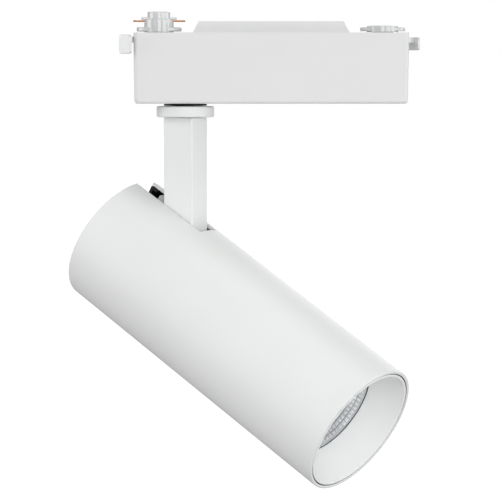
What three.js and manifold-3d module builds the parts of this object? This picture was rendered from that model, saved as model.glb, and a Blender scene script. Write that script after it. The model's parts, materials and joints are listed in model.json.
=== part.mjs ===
// Track spotlight: a driver box that hangs under a lighting track by a contact head and a lock, a swivel
// arm below it, and a cylindrical lamp head that tilts on the end of the arm.
//
// Millimetres, +Z up. The origin is the centre of the top face of the key that enters the track, +X runs
// along the track from the contact head to the lock, and the lamp head swings out towards -Y.
import * as THREE from "three";
import { mergeVertices } from "three/addons/utils/BufferGeometryUtils.js";
import Module from "manifold-3d";

const wasm = await Module();
wasm.setup();

// ---------------------------------------------------------------- driving dimensions

// Clearances
const GAP = 0.3; // between two pieces that touch, and round a shaft in its hole
const SLIDE = 0.4; // each side of the arm in the slot of the lamp tube
const REVEAL = 0.5; // visible groove between the lamp tube and its bezel
const OVER = 1; // by which a hole's shape runs past the faces it goes through

// Driver box
const BOX_LENGTH = 148.5;
const BOX_DEPTH = 35;
const BOX_HEIGHT = 38.3;
const BOX_WALL = 2;
const BOX_FLOOR = 2.2;
const BOX_CORNER = 2;
const LID_THICKNESS = 2;
const KEY_HEIGHT = 6.2;
const KEY_TOP_LENGTH = 78.3;
const KEY_BASE_LENGTH = 84.8;
const KEY_DEPTH = 16;
const KEY_WALL = 2;

// Screws
const LID_SCREW = { shank: 1.1, head: 2.3, cone: 1.2, length: 8 };
const BOARD_SCREW = { shank: 1.1, head: 2.4, cap: 1.5, length: 5 };
const BRACKET_SCREW = { shank: 1.8, head: 3.4, cap: 2.6, length: 14 };
const HOLDER_SCREW = { shank: 1.3, head: 2.5, cap: 1.6, length: 11 };
const BOSS_LENGTH = 7;
const BOSS_DEPTH = 5.8;
const BOSS_HEIGHT = 10;
const SCREW_SINK = 0.15; // heads of the lid screws below the lid

// Driver electronics
const BOARD_THICKNESS = 1.6;
const BOARD_LIFT = 3.4; // board above the floor of the box
const BOARD_LENGTH = 76;
const BOARD_SIDE_GAP = 0.9;
const BOARD_END_GAP = 3; // from the tab of the stop washer
const POST_RADIUS = 2.6;
const POST_INSET = 4;
const TERMINAL = { depth: 8, height: 10, pitch: 5 };
const TERMINAL_MOUTH = { half: 1.6, sill: 2, lintel: 5.5, back: 1 };
const TERMINAL_SCREW = { radius: 1.5, floor: 7.5 };
const CHOKE = { outer: 6.5, inner: 2.8, width: 6, edge: 1.2 };
const FILM_CAPACITOR = { length: 6, width: 12, height: 11, corner: 0.8 };
const BULK_CAPACITOR = { radius: 5, height: 20, edge: 0.6 };
const OUTPUT_CAPACITOR = { radius: 4, height: 14, edge: 0.6 };
const CORE = { length: 17, depth: 11, height: 20, leg: 5, yoke: 3.5, window: 3.5 };
// Where each component stands: along the board from its contact end, and across it.
const INPUT_TERMINAL_AT = [10, 0];
const CHOKE_AT = [22, -7];
const FILM_CAPACITOR_AT = [22, 7];
const BULK_CAPACITOR_AT = [34, -7];
const OUTPUT_CAPACITOR_1_AT = [34, 6];
const TRANSFORMER_AT = [49, 0];
const OUTPUT_CAPACITOR_2_AT = [62.6, 0];
const OUTPUT_TERMINAL_AT = [71.5, 0];

// Contact head and track lock
const ROTOR_INSET = 13.55; // turning axis of each from its end of the box
const STEM_RADIUS = 6;
const STEM_FLAT = 5; // half the width across the flats that carry the lever
const CONTACT_RADIUS = 8.15;
const CONTACT_HEIGHT = 7.2; // above the box
const CONTACT_STEM = 16; // below the lid
const ROTOR_EDGE = 0.5;
const LOCK_RADIUS = 8.6;
const LOCK_HEIGHT = 3.8;
const LOCK_STEM = 7;
const WING_SPAN = 24.6;
const WING_WIDTH = 14.4;
const WING_THICKNESS = 2.3;
const WING_LIFT = 0.7; // underside of the wings above the box
const BLADE_TIP = 14.1; // from the axis
const BLADE_WIDTH = 5.4;
const BLADE_THICKNESS = 0.8;
const BLADE_LEG = 3; // from the axis
const BLADE_TAIL = 2.5; // below the stem
const CAP_RADIUS = 6.4;
const CAP_HEIGHT = 2.9;
const CAP_EDGE = 0.6;
const SHROUD_SPAN = 19.4;
const SHROUD_THICKNESS = 1.45;

// Levers of the contact head and the lock
const LEVER_ANGLE = 45; // degrees from the long direction of the box
const LEVER_REACH = 24.95; // middle of the tab from the axis
const LEVER_WIDTH = 3;
const LEVER_HEIGHT = 3.2;
const LEVER_HUB = 8.5;
const TAB_WIDTH = 8.9;
const TAB_THICKNESS = 1.6;
const TAB_CORNER = 1.5;
const CONTACT_TAB = { rise: 1.1, drop: 9.1 };
const LOCK_TAB = { rise: 0.1, drop: 7.1 };
const CLIP_THICKNESS = 0.8;
const CLIP_RADIUS = 8;
const CLIP_GROOVE = 0.8; // depth of its groove in the stem
const CLIP_MOUTH = 0.75; // opening of the clip as a share of its bore

// Swivel between the box and the arm
const SWIVEL_INSET = 27.65; // axis from the contact end of the box
const SWIVEL_REST = -35; // degrees about +Z, 0 with the head along the box
const SWIVEL_HALF_TURN = 170; // degrees each way before the stop
const COLLAR_RADIUS = 15.65;
const COLLAR_HEIGHT = 5.9;
const COLLAR_EDGE = 0.8;
const BUSH_RADIUS = 11.7;
const BUSH_SHOW = 1.55; // distance from the box to the collar
const SPIGOT_RADIUS = 7.7;
const NIPPLE_RADIUS = 5;
const NIPPLE_BORE = 3.6;
const NIPPLE_OVERRUN = 1; // thread beyond the nut
const NIPPLE_SHORT = 1; // lower end above the foot of the plug
const WASHER_RADIUS = 9.5;
const WASHER_THICKNESS = 1;
const STOP_THICKNESS = 1.2;
const STOP_REACH = 13.5;
const STOP_STEP = 2; // from the edge of the washers to the stop in the box
const NUT_FLATS = 14;
const NUT_HEIGHT = 5;

// Arm
const ARM_WIDTH = 19.3;
const ARM_THICKNESS = 14.4;
const ARM_WALL = 3;
const ARM_EDGE = 0.8;
const ARM_PLUG = 12; // solid top that the nipple screws into
const ARM_DROP = 64.6; // tilt axis below the collar
const ARM_END_HOLE = 6;

// Tilt hinge
const TILT_REST = 30.85; // degrees nose down
const PIN_RADIUS = 2.5;
const PIN_HEAD_RADIUS = 4.4;
const PIN_HEAD_HEIGHT = 2.8;
const PIN_NUT_FLATS = 8;
const PIN_NUT_HEIGHT = 4;
const PIN_OVERRUN = 0.8; // thread beyond the nut
const SLEEVE_WALL = 1.2;
const FRICTION_RADIUS = 7.4;
const FRICTION_THICKNESS = 0.8;
const DISC_SPRING_THICKNESS = 1;
const DISC_SPRING_RADIUS = 6;
const EAR_THICKNESS = 2.5;
const EAR_BACK = 31.5; // behind the tilt axis
const EAR_BELOW = 12;
const EAR_CORNER = 2.5;
const FOOT_MARGIN = 0.8; // bracket below its lower screw head
const SWING_ROOM = 1; // ahead of the end of the arm
const EAR_ROOM = 0.42; // between the ears and the lamp tube
const SLOT_PAST = 1.2; // the slot runs this far over the bracket's plate

// Lamp tube
const TUBE_RADIUS = 37.5;
const TUBE_WALL = 1.8;
const TUBE_LENGTH = 186.5;
const NUT_ROOM = 0.43; // above the corners of the tilt nut
const TUBE_BACK = 38.2; // rear rim behind the tilt axis
const SLOT_CORNER = 1;
const CAP_PLATE = 1.8;
const CAP_RIM = 3; // depth of the rim of the rear cap
const CAP_SLOT_ROOM = 0.45; // under the arm when the head points straight down

// Light source
const SINK_LENGTH = 65.5;
const SINK_CORE = 14;
const SINK_AIR = 0.8; // between the fins and the tube
const FIN_COUNT = 18;
const FIN_THICKNESS = 1.6;
const PAD_THICKNESS = 0.5;
const PAD_SIDE = 22;
const LED_BOARD_SIDE = 24;
const LED_BOARD_THICKNESS = 1.5;
const EMITTER_RADIUS = 7.2;
const EMITTER_THICKNESS = 0.6;
const HOLDER_RADIUS = 22;
const HOLDER_BORE = 8.2;
const HOLDER_THICKNESS = 4;
const HOLDER_EDGE = 1;
const HOLDER_SKIRT = 17.6; // inner radius of the skirt round the board
const HOLDER_SCREW_AT = 19.8;

// Optic
const BEZEL_RECESS = 19.5; // reflector ring behind the rim
const RING_BORE = 26.5;
const RING_THICKNESS = 0.8;
const REFLECTOR_THROAT = 8.6;
const REFLECTOR_WALL = 1.2;
const REFLECTOR_STEP = 0.3; // mouth smaller than the bore of the ring
const FLANGE_ROOM = 4.7; // between the reflector's flange and the lamp tube
const BEZEL_LIP = 1.4;
const BEZEL_LIP_DEPTH = 3.8;
const BEZEL_WALL = 1.7;
const BEZEL_FLANGE = 2;
const BEZEL_ROUND = 0.7;
const BEZEL_STEP = 0.1; // foot larger than the bore of the ring
const BEZEL_SINK = 0.2; // behind the rim of the tube

// ---------------------------------------------------------------- places that follow from them

const BOX_TOP = -KEY_HEIGHT;
const BOX_BOTTOM = BOX_TOP - BOX_HEIGHT;
const FLOOR_TOP = BOX_BOTTOM + BOX_FLOOR;
const LID_BOTTOM = BOX_TOP - LID_THICKNESS;
const BOX_INNER_HALF = BOX_DEPTH / 2 - BOX_WALL;
const ROTOR_X = BOX_LENGTH / 2 - ROTOR_INSET;
const LEVER_TOP = LID_BOTTOM - GAP;
const LEVER_BOTTOM = LEVER_TOP - LEVER_HEIGHT;
const CLIP_TOP = LEVER_BOTTOM - GAP;
const BOSS_X = KEY_BASE_LENGTH / 2 + BOSS_LENGTH / 2;
const BOSS_Y = BOX_INNER_HALF - BOSS_DEPTH / 2;
const CONTACT_TOP = BOX_TOP + CONTACT_HEIGHT;
const BLADE_TOP = CONTACT_TOP - SHROUD_THICKNESS / 3;
const BLADE_BOTTOM = BLADE_TOP - BLADE_THICKNESS;
const BLADE_LEG_HALF = BLADE_WIDTH / 3;
const STEM_BOTTOM = LID_BOTTOM - CONTACT_STEM;
const SWIVEL_X = SWIVEL_INSET - BOX_LENGTH / 2;
const COLLAR_TOP = BOX_BOTTOM - BUSH_SHOW;
const COLLAR_BOTTOM = COLLAR_TOP - COLLAR_HEIGHT;
const ARM_TOP = COLLAR_BOTTOM - GAP;
const PIVOT_Z = COLLAR_BOTTOM - ARM_DROP;
const WASHER_Z = FLOOR_TOP + GAP;
const STOP_Z = WASHER_Z + WASHER_THICKNESS + GAP;
const NUT_Z = STOP_Z + STOP_THICKNESS + GAP;
const NIPPLE_TOP = NUT_Z + NUT_HEIGHT + NIPPLE_OVERRUN;
const BOARD_X = SWIVEL_X + STOP_REACH + BOARD_END_GAP;
const BOARD_Z = FLOOR_TOP + BOARD_LIFT + GAP;
const BOARD_TOP = BOARD_Z + BOARD_THICKNESS;

// Along the lamp tube, from the tilt axis, positive to the front.
const TUBE_FRONT = TUBE_LENGTH - TUBE_BACK;
const TUBE_INNER = TUBE_RADIUS - TUBE_WALL;
const SLOT_HALF = ARM_THICKNESS / 2 + SLIDE;
const EAR_INNER = ARM_THICKNESS / 2 + FRICTION_THICKNESS + 2 * GAP;
const EAR_OUTER = EAR_INNER + EAR_THICKNESS;
const PIN_NUT_Y = EAR_OUTER + DISC_SPRING_THICKNESS + 2 * GAP;
const PIN_NUT_END = PIN_NUT_Y + PIN_NUT_HEIGHT;
// The tilt axis lies as close under the top of the tube as its nut allows.
const NUT_CORNER = PIN_NUT_FLATS / Math.sqrt(3);
const TUBE_AXIS_DROP = Math.sqrt(TUBE_INNER ** 2 - PIN_NUT_END ** 2) - NUT_CORNER - NUT_ROOM;
const BRACKET_PLATE = ARM_WIDTH / 2 + SWING_ROOM;
const SLOT_FRONT = BRACKET_PLATE + SLOT_PAST;
const SINK_BACK = BRACKET_PLATE + EAR_THICKNESS + GAP;
const SINK_FRONT = SINK_BACK + SINK_LENGTH;
const PAD_X = SINK_FRONT + GAP;
const LED_BOARD_X = PAD_X + PAD_THICKNESS + GAP;
const EMITTER_X = LED_BOARD_X + LED_BOARD_THICKNESS + GAP;
const HOLDER_FRONT = EMITTER_X + HOLDER_THICKNESS;
const REFLECTOR_X = HOLDER_FRONT + GAP;
const RING_FRONT = TUBE_FRONT - BEZEL_RECESS;
const REFLECTOR_FRONT = RING_FRONT - RING_THICKNESS - GAP;
const FLANGE_RADIUS = TUBE_INNER - FLANGE_ROOM;
const EAR_TOP = Math.sqrt(TUBE_INNER ** 2 - EAR_OUTER ** 2) - TUBE_AXIS_DROP - EAR_ROOM;

// ---------------------------------------------------------------- materials

function finish(color, roughness, metalness = 0) {
  return new THREE.MeshStandardMaterial({ color, roughness, metalness });
}

const whitePaint = finish(0xe9eae9, 0.55);
const whitePlastic = finish(0xe2e3e2, 0.4);
const glossPlastic = finish(0xe6e7e7, 0.2);
const blackPlastic = finish(0x141414, 0.6);
const steel = finish(0x9c9fa1, 0.35, 1);
const copper = finish(0xb5713c, 0.3, 1);
const aluminium = finish(0xb9bcbe, 0.4, 1);
const mirrorAluminium = finish(0xd6d9db, 0.12, 1);
const darkRing = finish(0x3a4048, 0.3, 1);
const circuitBoard = finish(0x1f5a36, 0.5);
const ferrite = finish(0x2e2e30, 0.7);
const windingTape = finish(0xd9b23c, 0.5);
const capacitorSleeve = finish(0x23262d, 0.35);
const terminalPlastic = finish(0x4b8a58, 0.5);
const phosphor = finish(0xe6c648, 0.6);
const padGrey = finish(0x8e9296, 0.8);

// ---------------------------------------------------------------- shapes

// Sides of round outlines: fasteners, turned parts, wide discs, and the lamp tube with what lines it.
const SMALL = 12;
const ROUND = 24;
const WIDE = 48;
const TUBE_SIDES = 60;
const CORNER_STEPS = 4; // sides of a rounded corner
const CUP_STEPS = 6; // from the throat of the reflector to its mouth

function solid(shape) {
  if (!shape.isBufferGeometry) return shape;
  const bare = shape.index ? shape.toNonIndexed() : shape.clone();
  bare.deleteAttribute("normal");
  bare.deleteAttribute("uv");
  const merged = mergeVertices(bare, 1e-4);
  const corners = merged.index.array;
  const kept = [];
  for (let i = 0; i < corners.length; i += 3) {
    const [a, b, c] = corners.slice(i, i + 3);
    if (a !== b && b !== c && c !== a) kept.push(a, b, c);
  }
  const vertProperties = merged.attributes.position.array;
  const triVerts = new Uint32Array(kept);
  return new wasm.Manifold(new wasm.Mesh({ numProp: 3, vertProperties, triVerts }));
}

function join(...shapes) {
  return shapes.map(solid).reduce((whole, next) => whole.add(next));
}

function cut(shape, ...tools) {
  return tools.map(solid).reduce((whole, tool) => whole.subtract(tool), solid(shape));
}

function common(shape, other) {
  return solid(shape).intersect(solid(other));
}

function piece(name, material, shape) {
  const made = solid(shape).getMesh();
  const geometry = new THREE.BufferGeometry();
  geometry.setAttribute("position", new THREE.BufferAttribute(made.vertProperties, 3));
  geometry.setIndex(new THREE.BufferAttribute(made.triVerts, 1));
  geometry.computeVertexNormals();
  const mesh = new THREE.Mesh(geometry, material);
  mesh.name = name;
  return mesh;
}

function between(a, b) {
  return [Math.min(a, b), Math.max(a, b)];
}

function block([x0, x1], [y0, y1], [z0, z1]) {
  const box = new THREE.BoxGeometry(x1 - x0, y1 - y0, z1 - z0);
  return box.translate((x0 + x1) / 2, (y0 + y1) / 2, (z0 + z1) / 2);
}

// A solid turned about Z from an outline of [radius, height] points, in either direction.
function turned(outline, segments = ROUND) {
  const points = outline.map(([r, z]) => new THREE.Vector2(r, z));
  if (THREE.ShapeUtils.area(points) < 0) points.reverse();
  points.push(points[0].clone());
  return new THREE.LatheGeometry(points, segments).rotateX(Math.PI / 2);
}

// The same about X, from [position along X, radius] points, on the axis of the lamp tube.
function turnedOnTube(outline, segments = TUBE_SIDES) {
  const swapped = outline.map(([x, r]) => [r, x]);
  return turned(swapped, segments).rotateY(Math.PI / 2).translate(0, 0, -TUBE_AXIS_DROP);
}

function rod(radius, z0, z1, segments = ROUND) {
  const cylinder = new THREE.CylinderGeometry(radius, radius, z1 - z0, segments);
  return cylinder.rotateX(Math.PI / 2).translate(0, 0, (z0 + z1) / 2);
}

function rodAlongX(radius, x0, x1, segments = ROUND) {
  return rod(radius, x0, x1, segments).rotateY(Math.PI / 2);
}

function rodAlongY(radius, y0, y1, segments = ROUND) {
  return rod(radius, -y1, -y0, segments).rotateX(Math.PI / 2);
}

// A washer or ring about Z.
function ring(outer, inner, z0, z1, segments = ROUND) {
  return turned([[inner, z0], [outer, z0], [outer, z1], [inner, z1]], segments);
}

function hexagon(flats, z0, z1) {
  return rod(flats / Math.sqrt(3), z0, z1, 6);
}

function slab(shape, z0, z1, curveSegments = CORNER_STEPS) {
  const extruded = new THREE.ExtrudeGeometry(shape, { depth: z1 - z0, bevelEnabled: false, curveSegments });
  return extruded.translate(0, 0, z0);
}

function roundedRectangle(x0, x1, y0, y1, r) {
  const shape = new THREE.Shape();
  shape.moveTo(x0 + r, y0);
  shape.lineTo(x1 - r, y0);
  shape.absarc(x1 - r, y0 + r, r, -Math.PI / 2, 0);
  shape.lineTo(x1, y1 - r);
  shape.absarc(x1 - r, y1 - r, r, 0, Math.PI / 2);
  shape.lineTo(x0 + r, y1);
  shape.absarc(x0 + r, y1 - r, r, Math.PI / 2, Math.PI);
  shape.lineTo(x0, y0 + r);
  shape.absarc(x0 + r, y0 + r, r, Math.PI, 1.5 * Math.PI);
  return shape;
}

function centredRectangle(length, width, r) {
  return roundedRectangle(-length / 2, length / 2, -width / 2, width / 2, r);
}

// A countersunk screw with its head's face at z = 0.
function countersunkScrew({ shank, head, cone, length }) {
  return turned([[0, 0], [head, 0], [shank, -cone], [shank, -length], [0, -length]], SMALL);
}

// A cap-head screw that bears at z = 0 and points down.
function capScrew({ shank, head, cap, length }) {
  return turned([[0, cap], [head, cap], [head, 0], [shank, 0], [shank, -length], [0, -length]], SMALL);
}

// ---------------------------------------------------------------- driver box

function leverSlot(end) {
  const turn = THREE.MathUtils.degToRad(LEVER_ANGLE);
  const half = ROTOR_INSET * Math.tan(turn) + LEVER_WIDTH / 2 / Math.cos(turn) + GAP;
  const outside = end * (BOX_LENGTH / 2 + OVER);
  const inside = end * (BOX_LENGTH / 2 - BOX_WALL - OVER);
  return block(between(inside, outside), [-half, half], [LEVER_BOTTOM - GAP, LEVER_TOP + GAP / 2]);
}

function lidBoss(sideX, sideY) {
  const along = [sideX * BOSS_X - BOSS_LENGTH / 2, sideX * BOSS_X + BOSS_LENGTH / 2];
  const wallSide = sideY * (BOX_INNER_HALF + BOX_WALL / 2);
  const innerSide = sideY * (BOX_INNER_HALF - BOSS_DEPTH);
  const top = LID_BOTTOM - GAP;
  return block(along, between(wallSide, innerSide), [top - BOSS_HEIGHT, top]);
}

function corners(x, y) {
  return [[-x, -y], [x, -y], [x, y], [-x, y]];
}

function boardPosts() {
  const along = BOARD_LENGTH / 2 - POST_INSET;
  const across = BOX_INNER_HALF - BOARD_SIDE_GAP - POST_INSET;
  return corners(along, across).map(([x, y]) => [x + BOARD_X + BOARD_LENGTH / 2, y]);
}

function driverHousing() {
  const outline = centredRectangle(BOX_LENGTH, BOX_DEPTH, BOX_CORNER);
  const cavityLength = BOX_LENGTH - 2 * BOX_WALL;
  const cavity = centredRectangle(cavityLength, 2 * BOX_INNER_HALF, BOX_CORNER / 2);
  let housing = cut(slab(outline, BOX_BOTTOM, BOX_TOP), slab(cavity, FLOOR_TOP, BOX_TOP + OVER));
  for (const [x, y] of corners(1, 1)) {
    const hole = rod(LID_SCREW.shank + GAP, LID_BOTTOM - BOSS_HEIGHT - OVER, BOX_TOP, SMALL);
    housing = join(housing, lidBoss(x, y));
    housing = cut(housing, hole.translate(x * BOSS_X, y * BOSS_Y, 0));
  }
  for (const [x, y] of boardPosts()) {
    const post = rod(POST_RADIUS, BOX_BOTTOM + BOX_FLOOR / 2, FLOOR_TOP + BOARD_LIFT, SMALL);
    const hole = rod(BOARD_SCREW.shank + GAP, FLOOR_TOP - BOX_FLOOR / 2, BOARD_Z, SMALL);
    housing = join(housing, post.translate(x, y, 0));
    housing = cut(housing, hole.translate(x, y, 0));
  }
  const stop = block(
    [SWIVEL_X - STOP_REACH - STOP_STEP / 2, SWIVEL_X - WASHER_RADIUS - STOP_STEP],
    [-stopHalfWidth(), stopHalfWidth()],
    [BOX_BOTTOM + BOX_FLOOR / 2, STOP_Z + STOP_THICKNESS],
  );
  housing = join(housing, stop);
  const swivelHole = rod(SPIGOT_RADIUS + GAP, BOX_BOTTOM - OVER, FLOOR_TOP + OVER);
  return cut(housing, swivelHole.translate(SWIVEL_X, 0, 0), leverSlot(-1), leverSlot(1));
}

function driverLid() {
  const length = BOX_LENGTH - 2 * BOX_WALL - 2 * GAP;
  const width = 2 * BOX_INNER_HALF - 2 * GAP;
  const plate = slab(centredRectangle(length, width, BOX_CORNER / 2), LID_BOTTOM, BOX_TOP);
  const side = new THREE.Shape();
  side.moveTo(-KEY_BASE_LENGTH / 2, BOX_TOP - LID_THICKNESS / 2);
  side.lineTo(KEY_BASE_LENGTH / 2, BOX_TOP - LID_THICKNESS / 2);
  side.lineTo(KEY_BASE_LENGTH / 2, BOX_TOP);
  side.lineTo(KEY_TOP_LENGTH / 2, 0);
  side.lineTo(-KEY_TOP_LENGTH / 2, 0);
  side.lineTo(-KEY_BASE_LENGTH / 2, BOX_TOP);
  const key = slab(side, -KEY_DEPTH / 2, KEY_DEPTH / 2).rotateX(Math.PI / 2);
  const hollowX = KEY_TOP_LENGTH / 2 - KEY_WALL;
  const hollowY = KEY_DEPTH / 2 - KEY_WALL;
  const hollow = block([-hollowX, hollowX], [-hollowY, hollowY], [LID_BOTTOM - OVER, -KEY_WALL]);
  const screwHoles = corners(BOSS_X, BOSS_Y).map(([x, y]) => {
    const wide = LID_SCREW.head + GAP;
    const narrow = LID_SCREW.shank + GAP;
    const sunk = BOX_TOP - LID_SCREW.cone;
    const top = BOX_TOP + OVER;
    const bottom = LID_BOTTOM - OVER;
    const outline = [[0, top], [wide, top], [wide, BOX_TOP], [narrow, sunk], [narrow, bottom], [0, bottom]];
    return turned(outline, SMALL).translate(x, y, 0);
  });
  const stemHoles = [-ROTOR_X, ROTOR_X].map((x) =>
    rod(STEM_RADIUS + GAP, LID_BOTTOM - OVER, BOX_TOP + OVER).translate(x, 0, 0),
  );
  return cut(join(plate, key), hollow, ...screwHoles, ...stemHoles);
}

function lidScrews() {
  return corners(BOSS_X, BOSS_Y).map(([x, y], i) => {
    const screw = piece(`lid_screw_${i + 1}`, steel, countersunkScrew(LID_SCREW));
    screw.position.set(x, y, BOX_TOP - SCREW_SINK);
    return screw;
  });
}

// ---------------------------------------------------------------- driver electronics

function driverBoard() {
  const half = BOX_INNER_HALF - BOARD_SIDE_GAP;
  const plate = block([BOARD_X, BOARD_X + BOARD_LENGTH], [-half, half], [BOARD_Z, BOARD_TOP]);
  const holes = boardPosts().map(([x, y]) =>
    rod(BOARD_SCREW.shank + GAP, BOARD_Z - OVER, BOARD_TOP + OVER, SMALL).translate(x, y, 0),
  );
  return cut(plate, ...holes);
}

function boardScrews() {
  const [first, , third] = boardPosts();
  return [first, third].map(([x, y], i) => {
    const screw = piece(`board_screw_${i + 1}`, steel, capScrew(BOARD_SCREW));
    screw.position.set(x, y, BOARD_TOP + GAP);
    return screw;
  });
}

// A pair of E-shaped ferrites seen from the front; the coil goes round their middle leg.
function transformerCore() {
  const { length, depth, height, leg, yoke, window } = CORE;
  const body = block([-length / 2, length / 2], [-depth / 2, depth / 2], [0, height]);
  const windows = [-1, 1].map((side) => {
    const reach = between(side * (leg / 2), side * (leg / 2 + window));
    return block(reach, [-depth, depth], [yoke, height - yoke]);
  });
  return cut(body, ...windows);
}

function transformerCoil() {
  const { depth, height, leg, yoke, window } = CORE;
  const x = leg / 2 + window - GAP;
  const y = depth / 2 + window - GAP;
  const coil = block([-x, x], [-y, y], [yoke + GAP, height - yoke - GAP]);
  const legX = leg / 2 + GAP;
  const legY = depth / 2 + GAP;
  return cut(coil, block([-legX, legX], [-legY, legY], [0, height]));
}

function electrolytic({ radius, height, edge }) {
  return turned([[0, 0], [radius, 0], [radius, height - edge], [radius - edge, height], [0, height]], SMALL);
}

function toroid({ outer, inner, width, edge }) {
  const outline = roundedRectangle(inner, outer, -width / 2, width / 2, edge);
  const points = outline.getPoints(1).slice(0, -1).map(({ x, y }) => [x, y]);
  return turned(points).rotateX(Math.PI / 2).translate(0, 0, outer);
}

function terminal(ways) {
  const { depth, height, pitch } = TERMINAL;
  const { half, sill, lintel, back } = TERMINAL_MOUTH;
  let body = block([-depth / 2, depth / 2], [(-ways * pitch) / 2, (ways * pitch) / 2], [0, height]);
  for (let i = 0; i < ways; i++) {
    const y = (i - (ways - 1) / 2) * pitch;
    const mouth = block([-depth / 2 - OVER, back], [y - half, y + half], [sill, lintel]);
    const screwWell = rod(TERMINAL_SCREW.radius, TERMINAL_SCREW.floor, height + OVER, SMALL);
    body = cut(body, mouth, screwWell.translate(0, y, 0));
  }
  return body;
}

function electronics() {
  function fit(name, material, shape, [along, across]) {
    const part = piece(name, material, shape);
    part.position.set(BOARD_X + along, across, BOARD_TOP + GAP);
    return part;
  }
  const film = FILM_CAPACITOR;
  const filmCapacitor = slab(centredRectangle(film.length, film.width, film.corner), 0, film.height);
  const outputCapacitor = electrolytic(OUTPUT_CAPACITOR);
  const outputTerminal = fit("output_terminal", terminalPlastic, terminal(2), OUTPUT_TERMINAL_AT);
  outputTerminal.rotation.z = Math.PI;
  return [
    fit("input_terminal", terminalPlastic, terminal(3), INPUT_TERMINAL_AT),
    fit("filter_choke", windingTape, toroid(CHOKE), CHOKE_AT),
    fit("film_capacitor", terminalPlastic, filmCapacitor, FILM_CAPACITOR_AT),
    fit("bulk_capacitor", capacitorSleeve, electrolytic(BULK_CAPACITOR), BULK_CAPACITOR_AT),
    fit("output_capacitor_1", capacitorSleeve, outputCapacitor, OUTPUT_CAPACITOR_1_AT),
    fit("transformer_core", ferrite, transformerCore(), TRANSFORMER_AT),
    fit("transformer_coil", windingTape, transformerCoil(), TRANSFORMER_AT),
    fit("output_capacitor_2", capacitorSleeve, outputCapacitor, OUTPUT_CAPACITOR_2_AT),
    outputTerminal,
  ];
}

// ---------------------------------------------------------------- contact head and track lock

function stem(length) {
  const bottom = LID_BOTTOM - length;
  const round = rod(STEM_RADIUS, bottom, BOX_TOP + 2 * GAP);
  const flats = [-1, 1].map((side) => {
    const reach = between(side * STEM_FLAT, side * 2 * STEM_RADIUS);
    return block([-STEM_RADIUS, STEM_RADIUS], reach, [LEVER_BOTTOM - GAP / 2, LEVER_TOP + GAP / 2]);
  });
  const grooveBottom = CLIP_TOP - CLIP_THICKNESS - GAP / 2;
  const groove = ring(STEM_RADIUS + OVER, STEM_RADIUS - CLIP_GROOVE, grooveBottom, CLIP_TOP + GAP / 2);
  return cut(round, ...flats, groove);
}

function wings() {
  const oval = new THREE.Shape();
  oval.absellipse(0, 0, WING_SPAN / 2, WING_WIDTH / 2, 0, 2 * Math.PI);
  const bottom = BOX_TOP + WING_LIFT;
  return slab(oval, bottom, bottom + WING_THICKNESS, WIDE);
}

function rotorBody(radius, height) {
  const foot = BOX_TOP + GAP;
  const top = BOX_TOP + height;
  const rim = radius - ROTOR_EDGE;
  return turned([[0, foot], [radius, foot], [radius, top - ROTOR_EDGE], [rim, top], [0, top]]);
}

function contactRotor() {
  const body = join(rotorBody(CONTACT_RADIUS, CONTACT_HEIGHT), wings(), stem(CONTACT_STEM));
  const reach = CONTACT_RADIUS + OVER;
  const half = BLADE_WIDTH / 2 + GAP;
  const groove = block([-reach, reach], [-half, half], [BLADE_BOTTOM - GAP, CONTACT_TOP + OVER]);
  const legHalf = BLADE_LEG_HALF + GAP;
  const legSlots = [-1, 1].map((side) => {
    const along = between(side * (BLADE_LEG - GAP), side * (BLADE_LEG + BLADE_THICKNESS + GAP));
    return block(along, [-legHalf, legHalf], [STEM_BOTTOM - OVER, CONTACT_TOP]);
  });
  return cut(body, groove, ...legSlots);
}

function contactBlade() {
  const half = BLADE_WIDTH / 2;
  const tongue = block([BLADE_LEG, BLADE_TIP], [-half, half], [BLADE_BOTTOM, BLADE_TOP]);
  const thickness = [BLADE_LEG, BLADE_LEG + BLADE_THICKNESS];
  const leg = block(thickness, [-BLADE_LEG_HALF, BLADE_LEG_HALF], [STEM_BOTTOM - BLADE_TAIL, BLADE_TOP]);
  return join(tongue, leg);
}

function contactCap() {
  const bottom = BLADE_TOP + GAP;
  const half = SHROUD_SPAN / 2;
  const across = [-BLADE_WIDTH / 2, BLADE_WIDTH / 2];
  const shrouds = block([-half, half], across, [bottom, bottom + SHROUD_THICKNESS]);
  const seat = CONTACT_TOP + GAP;
  const top = bottom + SHROUD_THICKNESS + CAP_HEIGHT;
  const rim = CAP_RADIUS - CAP_EDGE;
  const disc = turned([[0, seat], [CAP_RADIUS, seat], [CAP_RADIUS, top - CAP_EDGE], [rim, top], [0, top]]);
  return join(shrouds, disc);
}

function lockRotor() {
  return join(rotorBody(LOCK_RADIUS, LOCK_HEIGHT), wings(), stem(LOCK_STEM));
}

// A lever on the flats of its stem. Its arm leaves the box through the end wall and ends in a finger tab.
function lever(degrees, { rise, drop }) {
  const turn = THREE.MathUtils.degToRad(degrees);
  const hub = rod(LEVER_HUB, LEVER_BOTTOM, LEVER_TOP);
  const across = [-LEVER_WIDTH / 2, LEVER_WIDTH / 2];
  const arm = block([LEVER_HUB / 2, LEVER_REACH], across, [LEVER_BOTTOM, LEVER_TOP]);
  const half = TAB_WIDTH / 2;
  const face = roundedRectangle(-half, half, LEVER_TOP - drop, LEVER_TOP + rise, TAB_CORNER);
  const tab = slab(face, -TAB_THICKNESS / 2, TAB_THICKNESS / 2).rotateX(Math.PI / 2).rotateZ(Math.PI / 2);
  tab.translate(LEVER_REACH, 0, 0);
  const body = join(hub, arm.rotateZ(turn), tab.rotateZ(turn));
  const bore = rod(STEM_RADIUS + GAP, LEVER_BOTTOM - OVER, LEVER_TOP + OVER);
  const keyX = 2 * STEM_RADIUS;
  const keyY = STEM_FLAT + GAP;
  const key = block([-keyX, keyX], [-keyY, keyY], [LEVER_BOTTOM - 2 * OVER, LEVER_TOP + 2 * OVER]);
  return cut(body, common(bore, key));
}

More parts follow.
